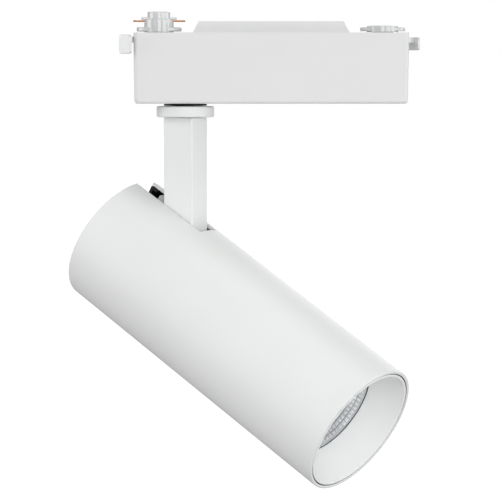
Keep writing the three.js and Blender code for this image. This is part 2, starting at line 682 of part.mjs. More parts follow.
function retainingClip() {
  const bottom = CLIP_TOP - CLIP_THICKNESS;
  const inner = STEM_RADIUS - CLIP_GROOVE + GAP;
  const half = inner * CLIP_MOUTH;
  const mouth = block([0, 2 * CLIP_RADIUS], [-half, half], [bottom - OVER, CLIP_TOP + OVER]);
  return cut(ring(CLIP_RADIUS, inner, bottom, CLIP_TOP), mouth);
}

function contactHead() {
  const group = new THREE.Group();
  group.position.x = -ROTOR_X;
  const left = piece("contact_blade_left", copper, contactBlade());
  left.rotation.z = Math.PI;
  group.add(
    piece("contact_rotor", glossPlastic, contactRotor()),
    left,
    piece("contact_blade_right", copper, contactBlade()),
    piece("contact_cap", glossPlastic, contactCap()),
    piece("contact_lever", glossPlastic, lever(180 + LEVER_ANGLE, CONTACT_TAB)),
    piece("contact_clip", steel, retainingClip()),
  );
  return group;
}

function trackLock() {
  const group = new THREE.Group();
  group.position.x = ROTOR_X;
  group.add(
    piece("lock_rotor", glossPlastic, lockRotor()),
    piece("lock_lever", glossPlastic, lever(LEVER_ANGLE, LOCK_TAB)),
    piece("lock_clip", steel, retainingClip()),
  );
  return group;
}

// ---------------------------------------------------------------- swivel and arm

// Half the width of the stop in the box and of the tab on the stop washer: together they take up what is
// left of a full turn.
function stopHalfWidth() {
  const spare = THREE.MathUtils.degToRad(180 - SWIVEL_HALF_TURN);
  return ((WASHER_RADIUS + STOP_STEP) * spare - GAP) / 2;
}

function swivelCollar() {
  const r = COLLAR_RADIUS;
  const e = COLLAR_EDGE;
  const outline = [
    [NIPPLE_RADIUS + GAP, COLLAR_BOTTOM],
    [r - e, COLLAR_BOTTOM],
    [r, COLLAR_BOTTOM + e],
    [r, COLLAR_TOP - e],
    [r - e, COLLAR_TOP],
    [NIPPLE_RADIUS + GAP, COLLAR_TOP],
  ];
  return turned(outline, WIDE);
}

function neckBush() {
  const bore = NIPPLE_RADIUS + GAP;
  const outline = [
    [bore, COLLAR_TOP + GAP],
    [BUSH_RADIUS, COLLAR_TOP + GAP],
    [BUSH_RADIUS, BOX_BOTTOM - GAP],
    [SPIGOT_RADIUS, BOX_BOTTOM - GAP],
    [SPIGOT_RADIUS, FLOOR_TOP],
    [bore, FLOOR_TOP],
  ];
  return turned(outline);
}

function stopWasher() {
  const top = STOP_Z + STOP_THICKNESS;
  const half = stopHalfWidth();
  const disc = rod(WASHER_RADIUS, STOP_Z, top);
  const tab = block([0, STOP_REACH], [-half, half], [STOP_Z, top]);
  return cut(join(disc, tab), rod(NIPPLE_RADIUS + GAP, STOP_Z - OVER, top + OVER));
}

function swivelNut() {
  const top = NUT_Z + NUT_HEIGHT;
  return cut(hexagon(NUT_FLATS, NUT_Z, top), rod(NIPPLE_RADIUS + GAP, NUT_Z - OVER, top + OVER));
}

function swivelArm() {
  const r = ARM_WIDTH / 2;
  const column = centredRectangle(ARM_WIDTH, ARM_THICKNESS, ARM_EDGE);
  const straight = slab(column, PIVOT_Z, ARM_TOP);
  const eye = rodAlongY(r, -ARM_THICKNESS / 2, ARM_THICKNESS / 2, WIDE).translate(0, 0, PIVOT_Z);
  const innerX = ARM_WIDTH / 2 - ARM_WALL;
  const innerY = ARM_THICKNESS / 2 - ARM_WALL;
  const wireway = block([-innerX, innerX], [-innerY, innerY], [PIVOT_Z - innerX, ARM_TOP - ARM_PLUG]);
  const nippleHole = rod(NIPPLE_RADIUS + GAP, ARM_TOP - ARM_PLUG - OVER, ARM_TOP + OVER);
  const hole = ARM_END_HOLE / 2;
  const endHole = block([-hole, hole], [-hole, hole], [PIVOT_Z - r - OVER, PIVOT_Z]);
  const pinHole = rodAlongY(PIN_RADIUS + GAP, -ARM_THICKNESS, ARM_THICKNESS).translate(0, 0, PIVOT_Z);
  return cut(join(straight, eye), wireway, nippleHole, endHole, pinHole);
}

function pivotSleeve() {
  const half = ARM_THICKNESS / 2 - ARM_WALL - GAP;
  const bore = PIN_RADIUS + GAP;
  return ring(bore + SLEEVE_WALL, bore, -half, half).rotateX(Math.PI / 2).translate(0, 0, PIVOT_Z);
}

function swivel() {
  const group = new THREE.Group();
  group.position.x = SWIVEL_X;
  group.rotation.z = THREE.MathUtils.degToRad(SWIVEL_REST);
  const nippleFoot = ARM_TOP - ARM_PLUG + NIPPLE_SHORT;
  const washer = ring(WASHER_RADIUS, NIPPLE_RADIUS + GAP, WASHER_Z, WASHER_Z + WASHER_THICKNESS);
  group.add(
    piece("swivel_collar", whitePaint, swivelCollar()),
    piece("neck_bush", blackPlastic, neckBush()),
    piece("threaded_nipple", steel, ring(NIPPLE_RADIUS, NIPPLE_BORE, nippleFoot, NIPPLE_TOP)),
    piece("wave_washer", steel, washer),
    piece("stop_washer", steel, stopWasher()),
    piece("swivel_nut", steel, swivelNut()),
    piece("swivel_arm", whitePaint, swivelArm()),
    piece("pivot_sleeve", steel, pivotSleeve()),
  );
  return group;
}

// ---------------------------------------------------------------- tilt hinge, in the lamp head's own frame

function hingeBracket() {
  const plate = block(
    [BRACKET_PLATE, BRACKET_PLATE + EAR_THICKNESS],
    [-EAR_OUTER, EAR_OUTER],
    [-bracketFoot(), EAR_TOP],
  );
  const face = roundedRectangle(-EAR_BACK, BRACKET_PLATE + EAR_THICKNESS, -EAR_BELOW, EAR_TOP, EAR_CORNER);
  const ears = [-EAR_OUTER, EAR_INNER].map((y) =>
    slab(face, -y - EAR_THICKNESS, -y).rotateX(Math.PI / 2),
  );
  const squareFront = [-1, 1].map((side) => {
    const across = between(side * EAR_INNER, side * EAR_OUTER);
    return block([0, BRACKET_PLATE + EAR_THICKNESS], across, [-EAR_BELOW, EAR_TOP]);
  });
  const pinHole = rodAlongY(PIN_RADIUS + GAP, -2 * EAR_OUTER, 2 * EAR_OUTER);
  const screwHoles = bracketScrewHeights().map((z) =>
    rodAlongX(BRACKET_SCREW.shank + GAP, 0, 2 * BRACKET_PLATE, SMALL).translate(0, 0, z),
  );
  return cut(join(plate, ...ears, ...squareFront), pinHole, ...screwHoles);
}

function bracketScrewHeights() {
  return [-TUBE_AXIS_DROP + SINK_CORE / 2, -TUBE_AXIS_DROP - SINK_CORE / 2];
}

function bracketFoot() {
  return TUBE_AXIS_DROP + SINK_CORE / 2 + BRACKET_SCREW.head + FOOT_MARGIN;
}

function bracketScrews() {
  return bracketScrewHeights().map((z, i) => {
    const screw = piece(`bracket_screw_${i + 1}`, steel, capScrew(BRACKET_SCREW));
    screw.rotation.y = -Math.PI / 2;
    screw.position.set(BRACKET_PLATE - GAP, 0, z);
    return screw;
  });
}

// The pin and what is on it lie along Y, with the pin's head towards -Y.
function pivotPin() {
  const end = PIN_NUT_END + PIN_OVERRUN;
  const start = -EAR_OUTER - GAP;
  return join(
    rodAlongY(PIN_RADIUS, start - PIN_HEAD_HEIGHT / 2, end),
    rodAlongY(PIN_HEAD_RADIUS, start - PIN_HEAD_HEIGHT, start),
  );
}

function alongPin(shape) {
  return shape.rotateX(-Math.PI / 2);
}

function pinHardware() {
  const hole = PIN_RADIUS + GAP;
  const springAt = EAR_OUTER + GAP;
  const frictionAt = ARM_THICKNESS / 2 + GAP;
  const nut = cut(
    alongPin(hexagon(PIN_NUT_FLATS, PIN_NUT_Y, PIN_NUT_END)),
    alongPin(rod(hole, PIN_NUT_Y - OVER, PIN_NUT_END + OVER)),
  );
  const spring = alongPin(ring(DISC_SPRING_RADIUS, hole, springAt, springAt + DISC_SPRING_THICKNESS));
  const washers = [-frictionAt - FRICTION_THICKNESS, frictionAt].map((y, i) => {
    const washer = alongPin(ring(FRICTION_RADIUS, hole, y, y + FRICTION_THICKNESS));
    return piece(`friction_washer_${i + 1}`, blackPlastic, washer);
  });
  return [
    piece("pivot_pin", steel, pivotPin()),
    piece("pivot_nut", steel, nut),
    piece("disc_spring", steel, spring),
    ...washers,
  ];
}

// ---------------------------------------------------------------- lamp tube and rear cap

// The slot runs out through the rear rim and leaves room for the arm at every tilt.
function lampTube() {
  const wall = turnedOnTube([
    [-TUBE_BACK, TUBE_INNER],
    [-TUBE_BACK, TUBE_RADIUS],
    [TUBE_FRONT, TUBE_RADIUS],
    [TUBE_FRONT, TUBE_INNER],
  ]);
  const plan = roundedRectangle(-2 * TUBE_BACK, SLOT_FRONT, -SLOT_HALF, SLOT_HALF, SLOT_CORNER);
  return cut(wall, slab(plan, -TUBE_AXIS_DROP, TUBE_RADIUS));
}

function rearCap() {
  const r = TUBE_INNER - GAP;
  const front = CAP_PLATE - TUBE_BACK;
  const disc = turnedOnTube([
    [-TUBE_BACK, 0],
    [-TUBE_BACK, r],
    [front + CAP_RIM, r],
    [front + CAP_RIM, r - CAP_PLATE],
    [front, r - CAP_PLATE],
    [front, 0],
  ]);
  const foot = -ARM_WIDTH / 2 - CAP_SLOT_ROOM;
  const opening = roundedRectangle(foot, TUBE_RADIUS, -SLOT_HALF, SLOT_HALF, SLOT_CORNER);
  const slot = slab(opening, TUBE_BACK - CAP_PLATE - CAP_RIM - OVER, TUBE_BACK + OVER);
  return cut(disc, slot.rotateY(-Math.PI / 2));
}

// ---------------------------------------------------------------- light source and optic

function heatSink() {
  const core = rod(SINK_CORE, SINK_BACK, SINK_FRONT, 2 * FIN_COUNT);
  const outer = rod(TUBE_INNER - SINK_AIR, SINK_BACK, SINK_FRONT, 4 * FIN_COUNT);
  const thickness = [-FIN_THICKNESS / 2, FIN_THICKNESS / 2];
  const bars = Array.from({ length: FIN_COUNT / 2 }, (_, i) => {
    const bar = block([-TUBE_RADIUS, TUBE_RADIUS], thickness, [SINK_BACK, SINK_FRONT]);
    return bar.rotateZ(((i + 0.5) * 2 * Math.PI) / FIN_COUNT);
  });
  const sink = join(core, common(join(...bars), outer));
  const bracketHoles = bracketScrewHeights().map((z) => {
    const end = SINK_BACK + BRACKET_SCREW.length;
    const hole = rod(BRACKET_SCREW.shank + GAP, SINK_BACK - OVER, end, SMALL);
    return hole.translate(-z - TUBE_AXIS_DROP, 0, 0);
  });
  const holderHoles = [-1, 1].map((side) => {
    const end = SINK_FRONT - HOLDER_SCREW.length;
    const hole = rod(HOLDER_SCREW.shank + GAP, end, SINK_FRONT + OVER, SMALL);
    return hole.translate(0, side * HOLDER_SCREW_AT, 0);
  });
  return cut(sink, ...bracketHoles, ...holderHoles);
}

function holderShape() {
  const skirtBack = SINK_FRONT + GAP;
  const body = turned([
    [HOLDER_BORE, EMITTER_X],
    [HOLDER_SKIRT, EMITTER_X],
    [HOLDER_SKIRT, skirtBack],
    [HOLDER_RADIUS, skirtBack],
    [HOLDER_RADIUS, HOLDER_FRONT - HOLDER_EDGE],
    [HOLDER_RADIUS - HOLDER_EDGE, HOLDER_FRONT],
    [HOLDER_BORE + HOLDER_EDGE, HOLDER_FRONT],
  ]);
  const holes = [-1, 1].map((side) => {
    const hole = rod(HOLDER_SCREW.shank + GAP, skirtBack - OVER, HOLDER_FRONT + OVER, SMALL);
    return hole.translate(0, side * HOLDER_SCREW_AT, 0);
  });
  return cut(body, ...holes);
}

// A parabolic cup, drawn with its light centre at the throat.
function reflectorShape() {
  const mouth = RING_BORE - REFLECTOR_STEP;
  const inside = [];
  const outside = [];
  for (let i = 0; i <= CUP_STEPS; i++) {
    const share = i / CUP_STEPS;
    const r = Math.sqrt(REFLECTOR_THROAT ** 2 + (mouth ** 2 - REFLECTOR_THROAT ** 2) * share);
    const z = REFLECTOR_X + (REFLECTOR_FRONT - REFLECTOR_X) * share;
    inside.push([r, z]);
    outside.push([r + REFLECTOR_WALL, z]);
  }
  const flangeBack = REFLECTOR_FRONT - REFLECTOR_WALL;
  outside[CUP_STEPS] = [mouth + REFLECTOR_WALL, flangeBack];
  outside.push([FLANGE_RADIUS, flangeBack], [FLANGE_RADIUS, REFLECTOR_FRONT]);
  return turned([...outside, ...inside.reverse()], WIDE);
}

function bezelShape() {
  const outer = TUBE_INNER - REVEAL;
  const mouth = outer - BEZEL_LIP;
  const front = TUBE_FRONT - BEZEL_SINK;
  const back = RING_FRONT + GAP;
  const bore = RING_BORE + BEZEL_STEP;
  const lipBack = front - BEZEL_LIP_DEPTH;
  const taper = (mouth - bore) / (front - BEZEL_ROUND - back);
  const wallAt = (x) => bore + taper * (x - back) + BEZEL_WALL;
  return turned([
    [bore, back],
    [outer, back],
    [outer, back + BEZEL_FLANGE],
    [wallAt(back + BEZEL_FLANGE), back + BEZEL_FLANGE],
    [wallAt(lipBack), lipBack],
    [outer, lipBack],
    [outer, front - BEZEL_ROUND / 2],
    [outer - BEZEL_ROUND / 2, front],
    [mouth + BEZEL_ROUND, front],
    [mouth, front - BEZEL_ROUND],
  ], TUBE_SIDES);
}

// Turns a piece drawn along Z so that it lies along the tube, on the tube's axis.
function onTubeAxis(mesh) {
  mesh.rotation.y = Math.PI / 2;
  mesh.position.z = -TUBE_AXIS_DROP;
  return mesh;
}

function squarePlate(side, thickness, back) {
  return block([-side / 2, side / 2], [-side / 2, side / 2], [back, back + thickness]);
}

function lightSource() {
  const emitter = rod(EMITTER_RADIUS, EMITTER_X, EMITTER_X + EMITTER_THICKNESS);
  const darkBand = ring(TUBE_INNER - REVEAL, RING_BORE, RING_FRONT - RING_THICKNESS, RING_FRONT, TUBE_SIDES);
  const pieces = [
    piece("heat_sink", aluminium, heatSink()),
    piece("thermal_pad", padGrey, squarePlate(PAD_SIDE, PAD_THICKNESS, PAD_X)),
    piece("led_board", aluminium, squarePlate(LED_BOARD_SIDE, LED_BOARD_THICKNESS, LED_BOARD_X)),
    piece("led_emitter", phosphor, emitter),
    piece("led_holder", whitePlastic, holderShape()),
    piece("reflector", mirrorAluminium, reflectorShape()),
    piece("reflector_ring", darkRing, darkBand),
    piece("bezel", whitePaint, bezelShape()),
  ];
  return pieces.map(onTubeAxis);
}

function holderScrews() {
  return [-1, 1].map((side, i) => {
    const screw = piece(`holder_screw_${i + 1}`, steel, capScrew(HOLDER_SCREW));
    screw.rotation.y = Math.PI / 2;
    screw.position.set(HOLDER_FRONT + GAP, side * HOLDER_SCREW_AT, -TUBE_AXIS_DROP);
    return screw;
  });
}

function lampHead() {
  const group = new THREE.Group();
  group.position.z = PIVOT_Z;
  group.rotation.y = THREE.MathUtils.degToRad(TILT_REST);
  group.add(
    piece("lamp_tube", whitePaint, lampTube()),
    piece("rear_cap", whitePaint, rearCap()),
    piece("hinge_bracket", steel, hingeBracket()),
    ...bracketScrews(),
    ...pinHardware(),
    ...lightSource(),
    ...holderScrews(),
  );
  return group;
}

// ---------------------------------------------------------------- assembly

const fixture = new THREE.Group();
const driverBox = new THREE.Group();
driverBox.add(
  piece("driver_housing", whitePlastic, driverHousing()),
  piece("driver_lid", whitePlastic, driverLid()),
  ...lidScrews(),
  piece("driver_board", circuitBoard, driverBoard()),
  ...boardScrews(),
  ...electronics(),
);
const arm = swivel();
arm.add(lampHead());
fixture.add(driverBox, contactHead(), trackLock(), arm);

export default fixture;
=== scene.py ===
# %% [markdown]
# # A track spotlight, piece by piece
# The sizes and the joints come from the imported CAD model, which is loaded first and never moved. Blender
# then gives every piece its surface: new meshes with rounded edges where the CAD is faceted, and a
# material for each finish. All lengths in this script are millimetres, and one matrix per moving body
# turns them into metres in place.

import contextlib
import json
import math

import bmesh
import bpy
from mathutils import Matrix, Vector


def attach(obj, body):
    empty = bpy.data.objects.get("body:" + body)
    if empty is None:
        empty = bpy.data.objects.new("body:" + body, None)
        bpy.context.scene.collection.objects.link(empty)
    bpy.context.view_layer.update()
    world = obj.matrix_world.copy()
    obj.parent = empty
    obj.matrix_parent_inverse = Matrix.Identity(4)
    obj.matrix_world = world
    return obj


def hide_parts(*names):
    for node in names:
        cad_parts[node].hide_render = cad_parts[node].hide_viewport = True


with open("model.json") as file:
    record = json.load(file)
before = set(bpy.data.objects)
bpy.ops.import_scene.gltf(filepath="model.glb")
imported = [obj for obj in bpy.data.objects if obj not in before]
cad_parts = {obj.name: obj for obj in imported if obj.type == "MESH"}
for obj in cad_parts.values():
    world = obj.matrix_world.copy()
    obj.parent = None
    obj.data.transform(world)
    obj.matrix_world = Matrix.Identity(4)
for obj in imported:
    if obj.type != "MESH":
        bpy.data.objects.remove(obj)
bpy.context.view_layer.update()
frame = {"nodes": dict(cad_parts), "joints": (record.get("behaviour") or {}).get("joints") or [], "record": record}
nodes = frame["nodes"]
joints = {joint["name"]: joint for joint in frame["joints"]}
mounts = {mount["name"]: mount for mount in frame["record"]["mounts"]}

# %% [markdown]
# ## A local frame for each body
# The lamp hangs turned and tilted, so its pieces are easier to draw in a frame of their own. A frame is a
# 4x4 matrix: three axes and a place, with the scale from millimetres to metres in it. The axes come from
# the joints, so they stay right if the pose of the CAD model changes.

# %% Local frames
MM = 0.001


def local_frame(place, x_axis, y_axis):
    """Matrix from local millimetres to the model's metres."""
    x = Vector(x_axis).normalized()
    z = x.cross(Vector(y_axis)).normalized()
    turn = Matrix((x, z.cross(x), z)).transposed().to_4x4()
    return Matrix.Translation(place) @ turn @ Matrix.Scale(MM, 4)


def span(node, local):
    """Lowest and highest corner of a CAD node in a local frame, in millimetres."""
    back = local.inverted()
    points = [back @ vertex.co for vertex in nodes[node].data.vertices]
    return [Vector([pick(p[axis] for p in points) for axis in range(3)]) for pick in (min, max)]


def on_axis(joint):
    """A joint's place with its height taken out, so that local heights are the model's heights."""
    x, y, _ = joints[joint]["pos_m"]
    return x, y, 0


TILT_AXIS = Vector(joints["head_tilt"]["axis"])
BEAM = Vector(mounts["mouth_rim"]["axis"])
BOX = Matrix.Scale(MM, 4)
CONTACT = local_frame(on_axis("contact_head_turn"), (1, 0, 0), (0, 1, 0))
LOCK = local_frame(on_axis("track_lock_turn"), (1, 0, 0), (0, 1, 0))
ARM = local_frame(on_axis("swivel_turn"), TILT_AXIS.cross(Vector((0, 0, 1))), TILT_AXIS)
HEAD = local_frame(joints["head_tilt"]["pos_m"], BEAM, TILT_AXIS)
tube_low, tube_high = span("lamp_tube", HEAD)
TUBE_DROP = (tube_low.z + tube_high.z) / 2
# In this frame Z is the axis of the lamp tube, Y the tilt axis and X points to the underside of the tube.
TUBE = HEAD @ Matrix.Translation((0, 0, TUBE_DROP)) @ Matrix.Rotation(math.pi / 2, 4, "Y")
print("tube radius", round(tube_high.y, 2), "length", round(tube_high.x - tube_low.x, 2))

# %% [markdown]
# ## Camera, light and floor
# A long lens from a step and a half away, nearly level, keeps the box square. The light is a white
# studio: eight large soft lamps all round, dim walls, a backdrop that only the camera sees as white, and
# a pale floor far below.

# %% Camera
def linked(name, data):
    """A new object in the scene."""
    made = bpy.data.objects.new(name, data)
    bpy.context.scene.collection.objects.link(made)
    return made


CAMERA_PLACE = Vector((-11.43, -1539.9, -26.27)) * MM
CAMERA_DOWN = 3.65  # degrees
camera = linked("camera", bpy.data.cameras.new("camera"))
camera.location = CAMERA_PLACE
camera.rotation_euler = (math.radians(90 - CAMERA_DOWN), 0, 0)
camera.data.sensor_width = 36
camera.data.lens = 203.4
bpy.context.scene.camera = camera
print("camera", [round(v, 3) for v in camera.location])

# %% Helpers for nodes and colours
MATH = "ShaderNodeMath"


def linear(code, alpha=1.0):
    """An sRGB colour such as "#e9eae9" as linear red, green, blue and alpha."""
    parts = [int(code[i : i + 2], 16) / 255 for i in (1, 3, 5)]
    return [p / 12.92 if p <= 0.04045 else ((p + 0.055) / 1.055) ** 2.4 for p in parts] + [alpha]


def add(tree, kind, inputs=None, **settings):
    """Adds a node. inputs gives each named or numbered input a value, or the output that feeds it."""
    made = tree.nodes.new(kind)
    for name, value in settings.items():
        setattr(made, name, value)
    for key, value in (inputs or {}).items():
        if isinstance(value, bpy.types.NodeSocket):
            tree.links.new(value, made.inputs[key])
        else:
            made.inputs[key].default_value = value
    return made


# %% Studio
LAMP_TARGET = Vector((0, 0, -0.12))  # about the middle of the spotlight


def lamp(name, place, size, watts):
    """A square soft lamp that faces the spotlight."""
    light = bpy.data.lights.new(name, "AREA")
    light.size = size
    light.energy = watts
    made = linked(name, light)
    made.location = place
    made.rotation_euler = (LAMP_TARGET - made.location).to_track_quat("-Z", "Y").to_euler()
    made.visible_camera = False


LAMPS = {
    "front_left": ((-0.9, -1.4, 0.9), 0.5, 3.2),
    "front_right": ((1.2, -1.4, 0.1), 1.0, 7.0),
    "front": ((0.0, -1.9, 0.25), 0.8, 5.6),
    "left": ((-1.6, -0.2, 0.2), 1.0, 7.8),
    "right": ((1.6, -0.2, 0.2), 1.0, 7.5),
    "top": ((0.0, -0.2, 1.6), 1.0, 6.8),
    "below": ((0.0, -1.2, -0.8), 0.8, 4.6),
    "back": ((0.4, 1.8, 0.4), 1.0, 6.0),
}
for lamp_name, (lamp_place, lamp_size, watts) in LAMPS.items():
    lamp(lamp_name, lamp_place, lamp_size, watts)
ROOM_LIGHT = 0.35  # of the walls on the object; the camera sees the backdrop as plain white
world = bpy.data.worlds.new("white_studio")
world.use_nodes = True
walls = world.node_tree
walls.nodes.clear()
seen = add(walls, "ShaderNodeLightPath").outputs["Is Camera Ray"]
strength = add(walls, "ShaderNodeMapRange", {"Value": seen, "To Min": ROOM_LIGHT, "To Max": 1.0})
sky = add(walls, "ShaderNodeBackground", {"Color": linear("#ffffff"), "Strength": strength.outputs[0]})
add(walls, "ShaderNodeOutputWorld", {"Surface": sky.outputs[0]})
bpy.context.scene.world = world
bpy.context.scene.view_settings.view_transform = "Standard"

FLOOR_DEPTH, FLOOR_HALF = 1.0, 40  # metres
floor_mesh = bpy.data.meshes.new("floor")
floor_corners = [(x * FLOOR_HALF, y * FLOOR_HALF, 0) for x, y in ((-1, -1), (1, -1), (1, 1), (-1, 1))]
floor_mesh.from_pydata(floor_corners, [], [(0, 1, 2, 3)])
floor = linked("floor", floor_mesh)
floor.location.z = -FLOOR_DEPTH
floor_paint = bpy.data.materials.new("pale_floor_paint")
floor_paint.use_nodes = True
floor_paint.node_tree.nodes.clear()
glow = {"Emission Color": linear("#ffffff"), "Emission Strength": 0.8}
paper = {"Base Color": linear("#f4f4f4"), "Roughness": 0.9, **glow}
floor_coat = add(floor_paint.node_tree, "ShaderNodeBsdfPrincipled", paper)
add(floor_paint.node_tree, "ShaderNodeOutputMaterial", {"Surface": floor_coat.outputs[0]})
floor_mesh.materials.append(floor_paint)
floor.visible_diffuse = floor.visible_glossy = False  # it is lit paper to the eye, and lights nothing

# %% [markdown]
# ## Finishes
# Most finishes here share one recipe. A slow noise shifts the colour and the roughness a little from
# place to place, as a real coat or moulding does, and a fine noise gives the grain as bump. Each size is
# the real one in millimetres, turned into a texture scale by `per`. Stretching the coordinates turns
# grain into brush or rolling marks.

# %% Helpers for materials


def per(size):
    """Texture scale whose pattern repeats about every so many millimetres."""
    return 1 / (size * MM)


def start_material(name, fixed):
    """A material with constant sockets set. Returns it, its tree, the shader and Object coordinates."""
    material = bpy.data.materials.new(name)
    material.use_nodes = True
    tree = material.node_tree
    tree.nodes.clear()
    shader = add(tree, "ShaderNodeBsdfPrincipled", fixed)
    add(tree, "ShaderNodeOutputMaterial", {"Surface": shader.outputs[0]})
    return material, tree, shader, add(tree, "ShaderNodeTexCoord").outputs["Object"]


def grained(name, tones, patch, rough, grain, height, stretch=(1, 1, 1), turn=(0, 0, 0), **fixed):
    """A finish with two close tones in patches, a range of roughness and a fine grain, in millimetres."""
    material, tree, shader, place = start_material(name, fixed)
    lined = add(tree, "ShaderNodeMapping", {"Vector": place, "Rotation": turn, "Scale": stretch}).outputs[0]
    slow = add(tree, "ShaderNodeTexNoise", {"Vector": place, "Scale": per(patch), "Detail": 3.0}).outputs[0]
    fine = add(tree, "ShaderNodeTexNoise", {"Vector": lined, "Scale": per(grain), "Detail": 4.0}).outputs[0]
    tone = add(tree, "ShaderNodeMix", {0: slow, 6: linear(tones[0]), 7: linear(tones[1])}, data_type="RGBA")
    gloss = add(tree, "ShaderNodeMapRange", {"Value": fine, "To Min": rough[0], "To Max": rough[1]})
    bump = add(tree, "ShaderNodeBump", {"Height": fine, "Distance": height * MM, "Strength": 0.6})
    tree.links.new(tone.outputs[2], shader.inputs["Base Color"])
    tree.links.new(gloss.outputs[0], shader.inputs["Roughness"])
    tree.links.new(bump.outputs[0], shader.inputs["Normal"])
    return material


# %% Painted and moulded finishes
# Polyester powder coat on aluminium: sprayed dry and baked, so it levels into a faint orange peel about 1
# mm across.
POWDER = grained("white_powder_coat", ("#eceded", "#e6e8e6"), 45, (0.42, 0.54), 0.9, 0.025)
# Moulded ABS from a spark-eroded tool: a fine even texture that scatters the light to satin.
SATIN = grained("satin_moulded_abs", ("#e4e5e4", "#dfe0df"), 70, (0.38, 0.48), 0.35, 0.01)
# The bezel: a smoother and whiter moulding, so that the funnel glows evenly.
FUNNEL = grained("satin_white_bezel", ("#f5f6f6", "#f1f2f2"), 30, (0.4, 0.5), 0.4, 0.008)
# Moulded polycarbonate from a polished tool: glossy, with a slow waviness where it shrank.
SHINE = {"Coat Weight": 1.0, "Coat Roughness": 0.06}
GLOSS = grained("polished_polycarbonate", ("#d5d6d6", "#cecfd0"), 20, (0.1, 0.2), 4, 0.02, **SHINE)
# Glass-filled nylon: matt black with a rough glassy grain.
BLACK = grained("black_glass_filled_nylon", ("#0c0c0c", "#070708"), 12, (0.5, 0.7), 0.3, 0.02)
# Inside of the lamp tube and the rear cap, and the bezel's outer side: flat black, partly a thin inner coat that
# keeps stray light in, and partly painted shade that makes the slot and the rim groove dark.
BLACK_COAT_AND_SHADE = grained("flat_black_coat_and_painted_shade", ("#0d0d0d", "#080808"), 20, (0.7, 0.85), 0.5, 0.01)

# %% Metal finishes
# Zinc-plated steel: a grey mirror broken up by the barrel it was plated in.
STEEL = grained("zinc_plated_steel", ("#b9bcbf", "#a2a6aa"), 5, (0.24, 0.42), 0.5, 0.006, Metallic=1.0)
# Beryllium copper contact strip: warm, wiped dull along the way it slides.
COPPER = grained(
    "contact_copper", ("#b97c3e", "#7d4d22"), 4, (0.2, 0.42), 0.4, 0.005, (0.2, 1, 1), Metallic=1.0
)
# Phosphated steel of the bracket: a dull mid grey.
PHOSPHATE = grained("phosphated_steel", ("#b6b9bb", "#a0a3a6"), 4, (0.4, 0.6), 0.4, 0.006, Metallic=0.8)
# Extruded aluminium, black anodised, and black also as painted shade that keeps the slot dark: long die lines
# along the tube.
BEAM_TURN = (0, -math.asin(BEAM.z), math.atan2(BEAM.y, BEAM.x))
EXTRUDED = grained(
    "black_extrusion_and_painted_shade", ("#1d1e20", "#141516"), 9, (0.3, 0.45), 0.4, 0.01, (0.04, 1, 1), BEAM_TURN,
    Metallic=1.0,
)
# Vacuum-metallised reflector: a bright mirror with a slight haze. The seams between its cushions get a
# darker, slightly rougher metal: painted shade in the creases.
MIRROR = grained("vacuum_metallised_mirror", ("#f8f9fa", "#f0f2f3"), 8, (0.2, 0.3), 1.5, 0.001, Metallic=0.5)
SEAM_SHADE = grained("metallised_seam_painted_shade", ("#c2c6c9", "#b6babd"), 8, (0.25, 0.35), 1.5, 0.001, Metallic=0.5)
# Machined aluminium under the light source.
PLATE = grained(
    "machined_aluminium", ("#c3c6c8", "#aeb2b5"), 9, (0.3, 0.45), 0.4, 0.01, (0.1, 1, 1), Metallic=1.0
)
# Dark anodised ring between the bezel and the reflector.
DARK = grained("dark_anodised_ring", ("#939eab", "#7d8793"), 6, (0.22, 0.36), 0.4, 0.004, Metallic=1.0)

# %% Finishes inside the driver
FERRITE = grained("sintered_ferrite", ("#343436", "#262628"), 3, (0.55, 0.8), 0.3, 0.02)
SLEEVE = grained("shrink_sleeve", ("#262a32", "#1d2026"), 6, (0.25, 0.4), 1.2, 0.02)
TERMINAL = grained("moulded_terminal_block", ("#4f905d", "#437e50"), 10, (0.35, 0.5), 0.4, 0.01)
PHOSPHOR = grained("phosphor_in_silicone", ("#e9cb50", "#dcb93c"), 2, (0.45, 0.6), 0.25, 0.02)
PAD = grained("silicone_thermal_pad", ("#92969a", "#858a8e"), 4, (0.7, 0.9), 0.3, 0.03)


def wound(name, thread, tones, **fixed):
    """Enamelled wire laid side by side: one raised band for each turn, painted darker in the grooves as shade and
    paler on the crests as highlight. Thread is the wire's thickness.
    """
    material, tree, shader, place = start_material(name, fixed)
    wave = add(tree, "ShaderNodeTexWave", {"Vector": place, "Scale": per(thread) / 20, "Distortion": 0.4})
    wave.bands_direction = "Z"
    dark, pale = map(linear, tones)
    # The colour follows the bands: dark in the grooves between turns is painted shade, pale on the crests is a
    # painted highlight.
    tone = add(tree, "ShaderNodeMix", {0: wave.outputs[1], 6: dark, 7: pale}, data_type="RGBA")
    bump = add(tree, "ShaderNodeBump", {"Height": wave.outputs[1], "Distance": thread * MM / 4})
    tree.links.new(tone.outputs[2], shader.inputs["Base Color"])
    tree.links.new(bump.outputs[0], shader.inputs["Normal"])
    return material


WINDING = wound("enamelled_winding", 0.9, ("#8a5a1e", "#e0b445"), Roughness=0.3)


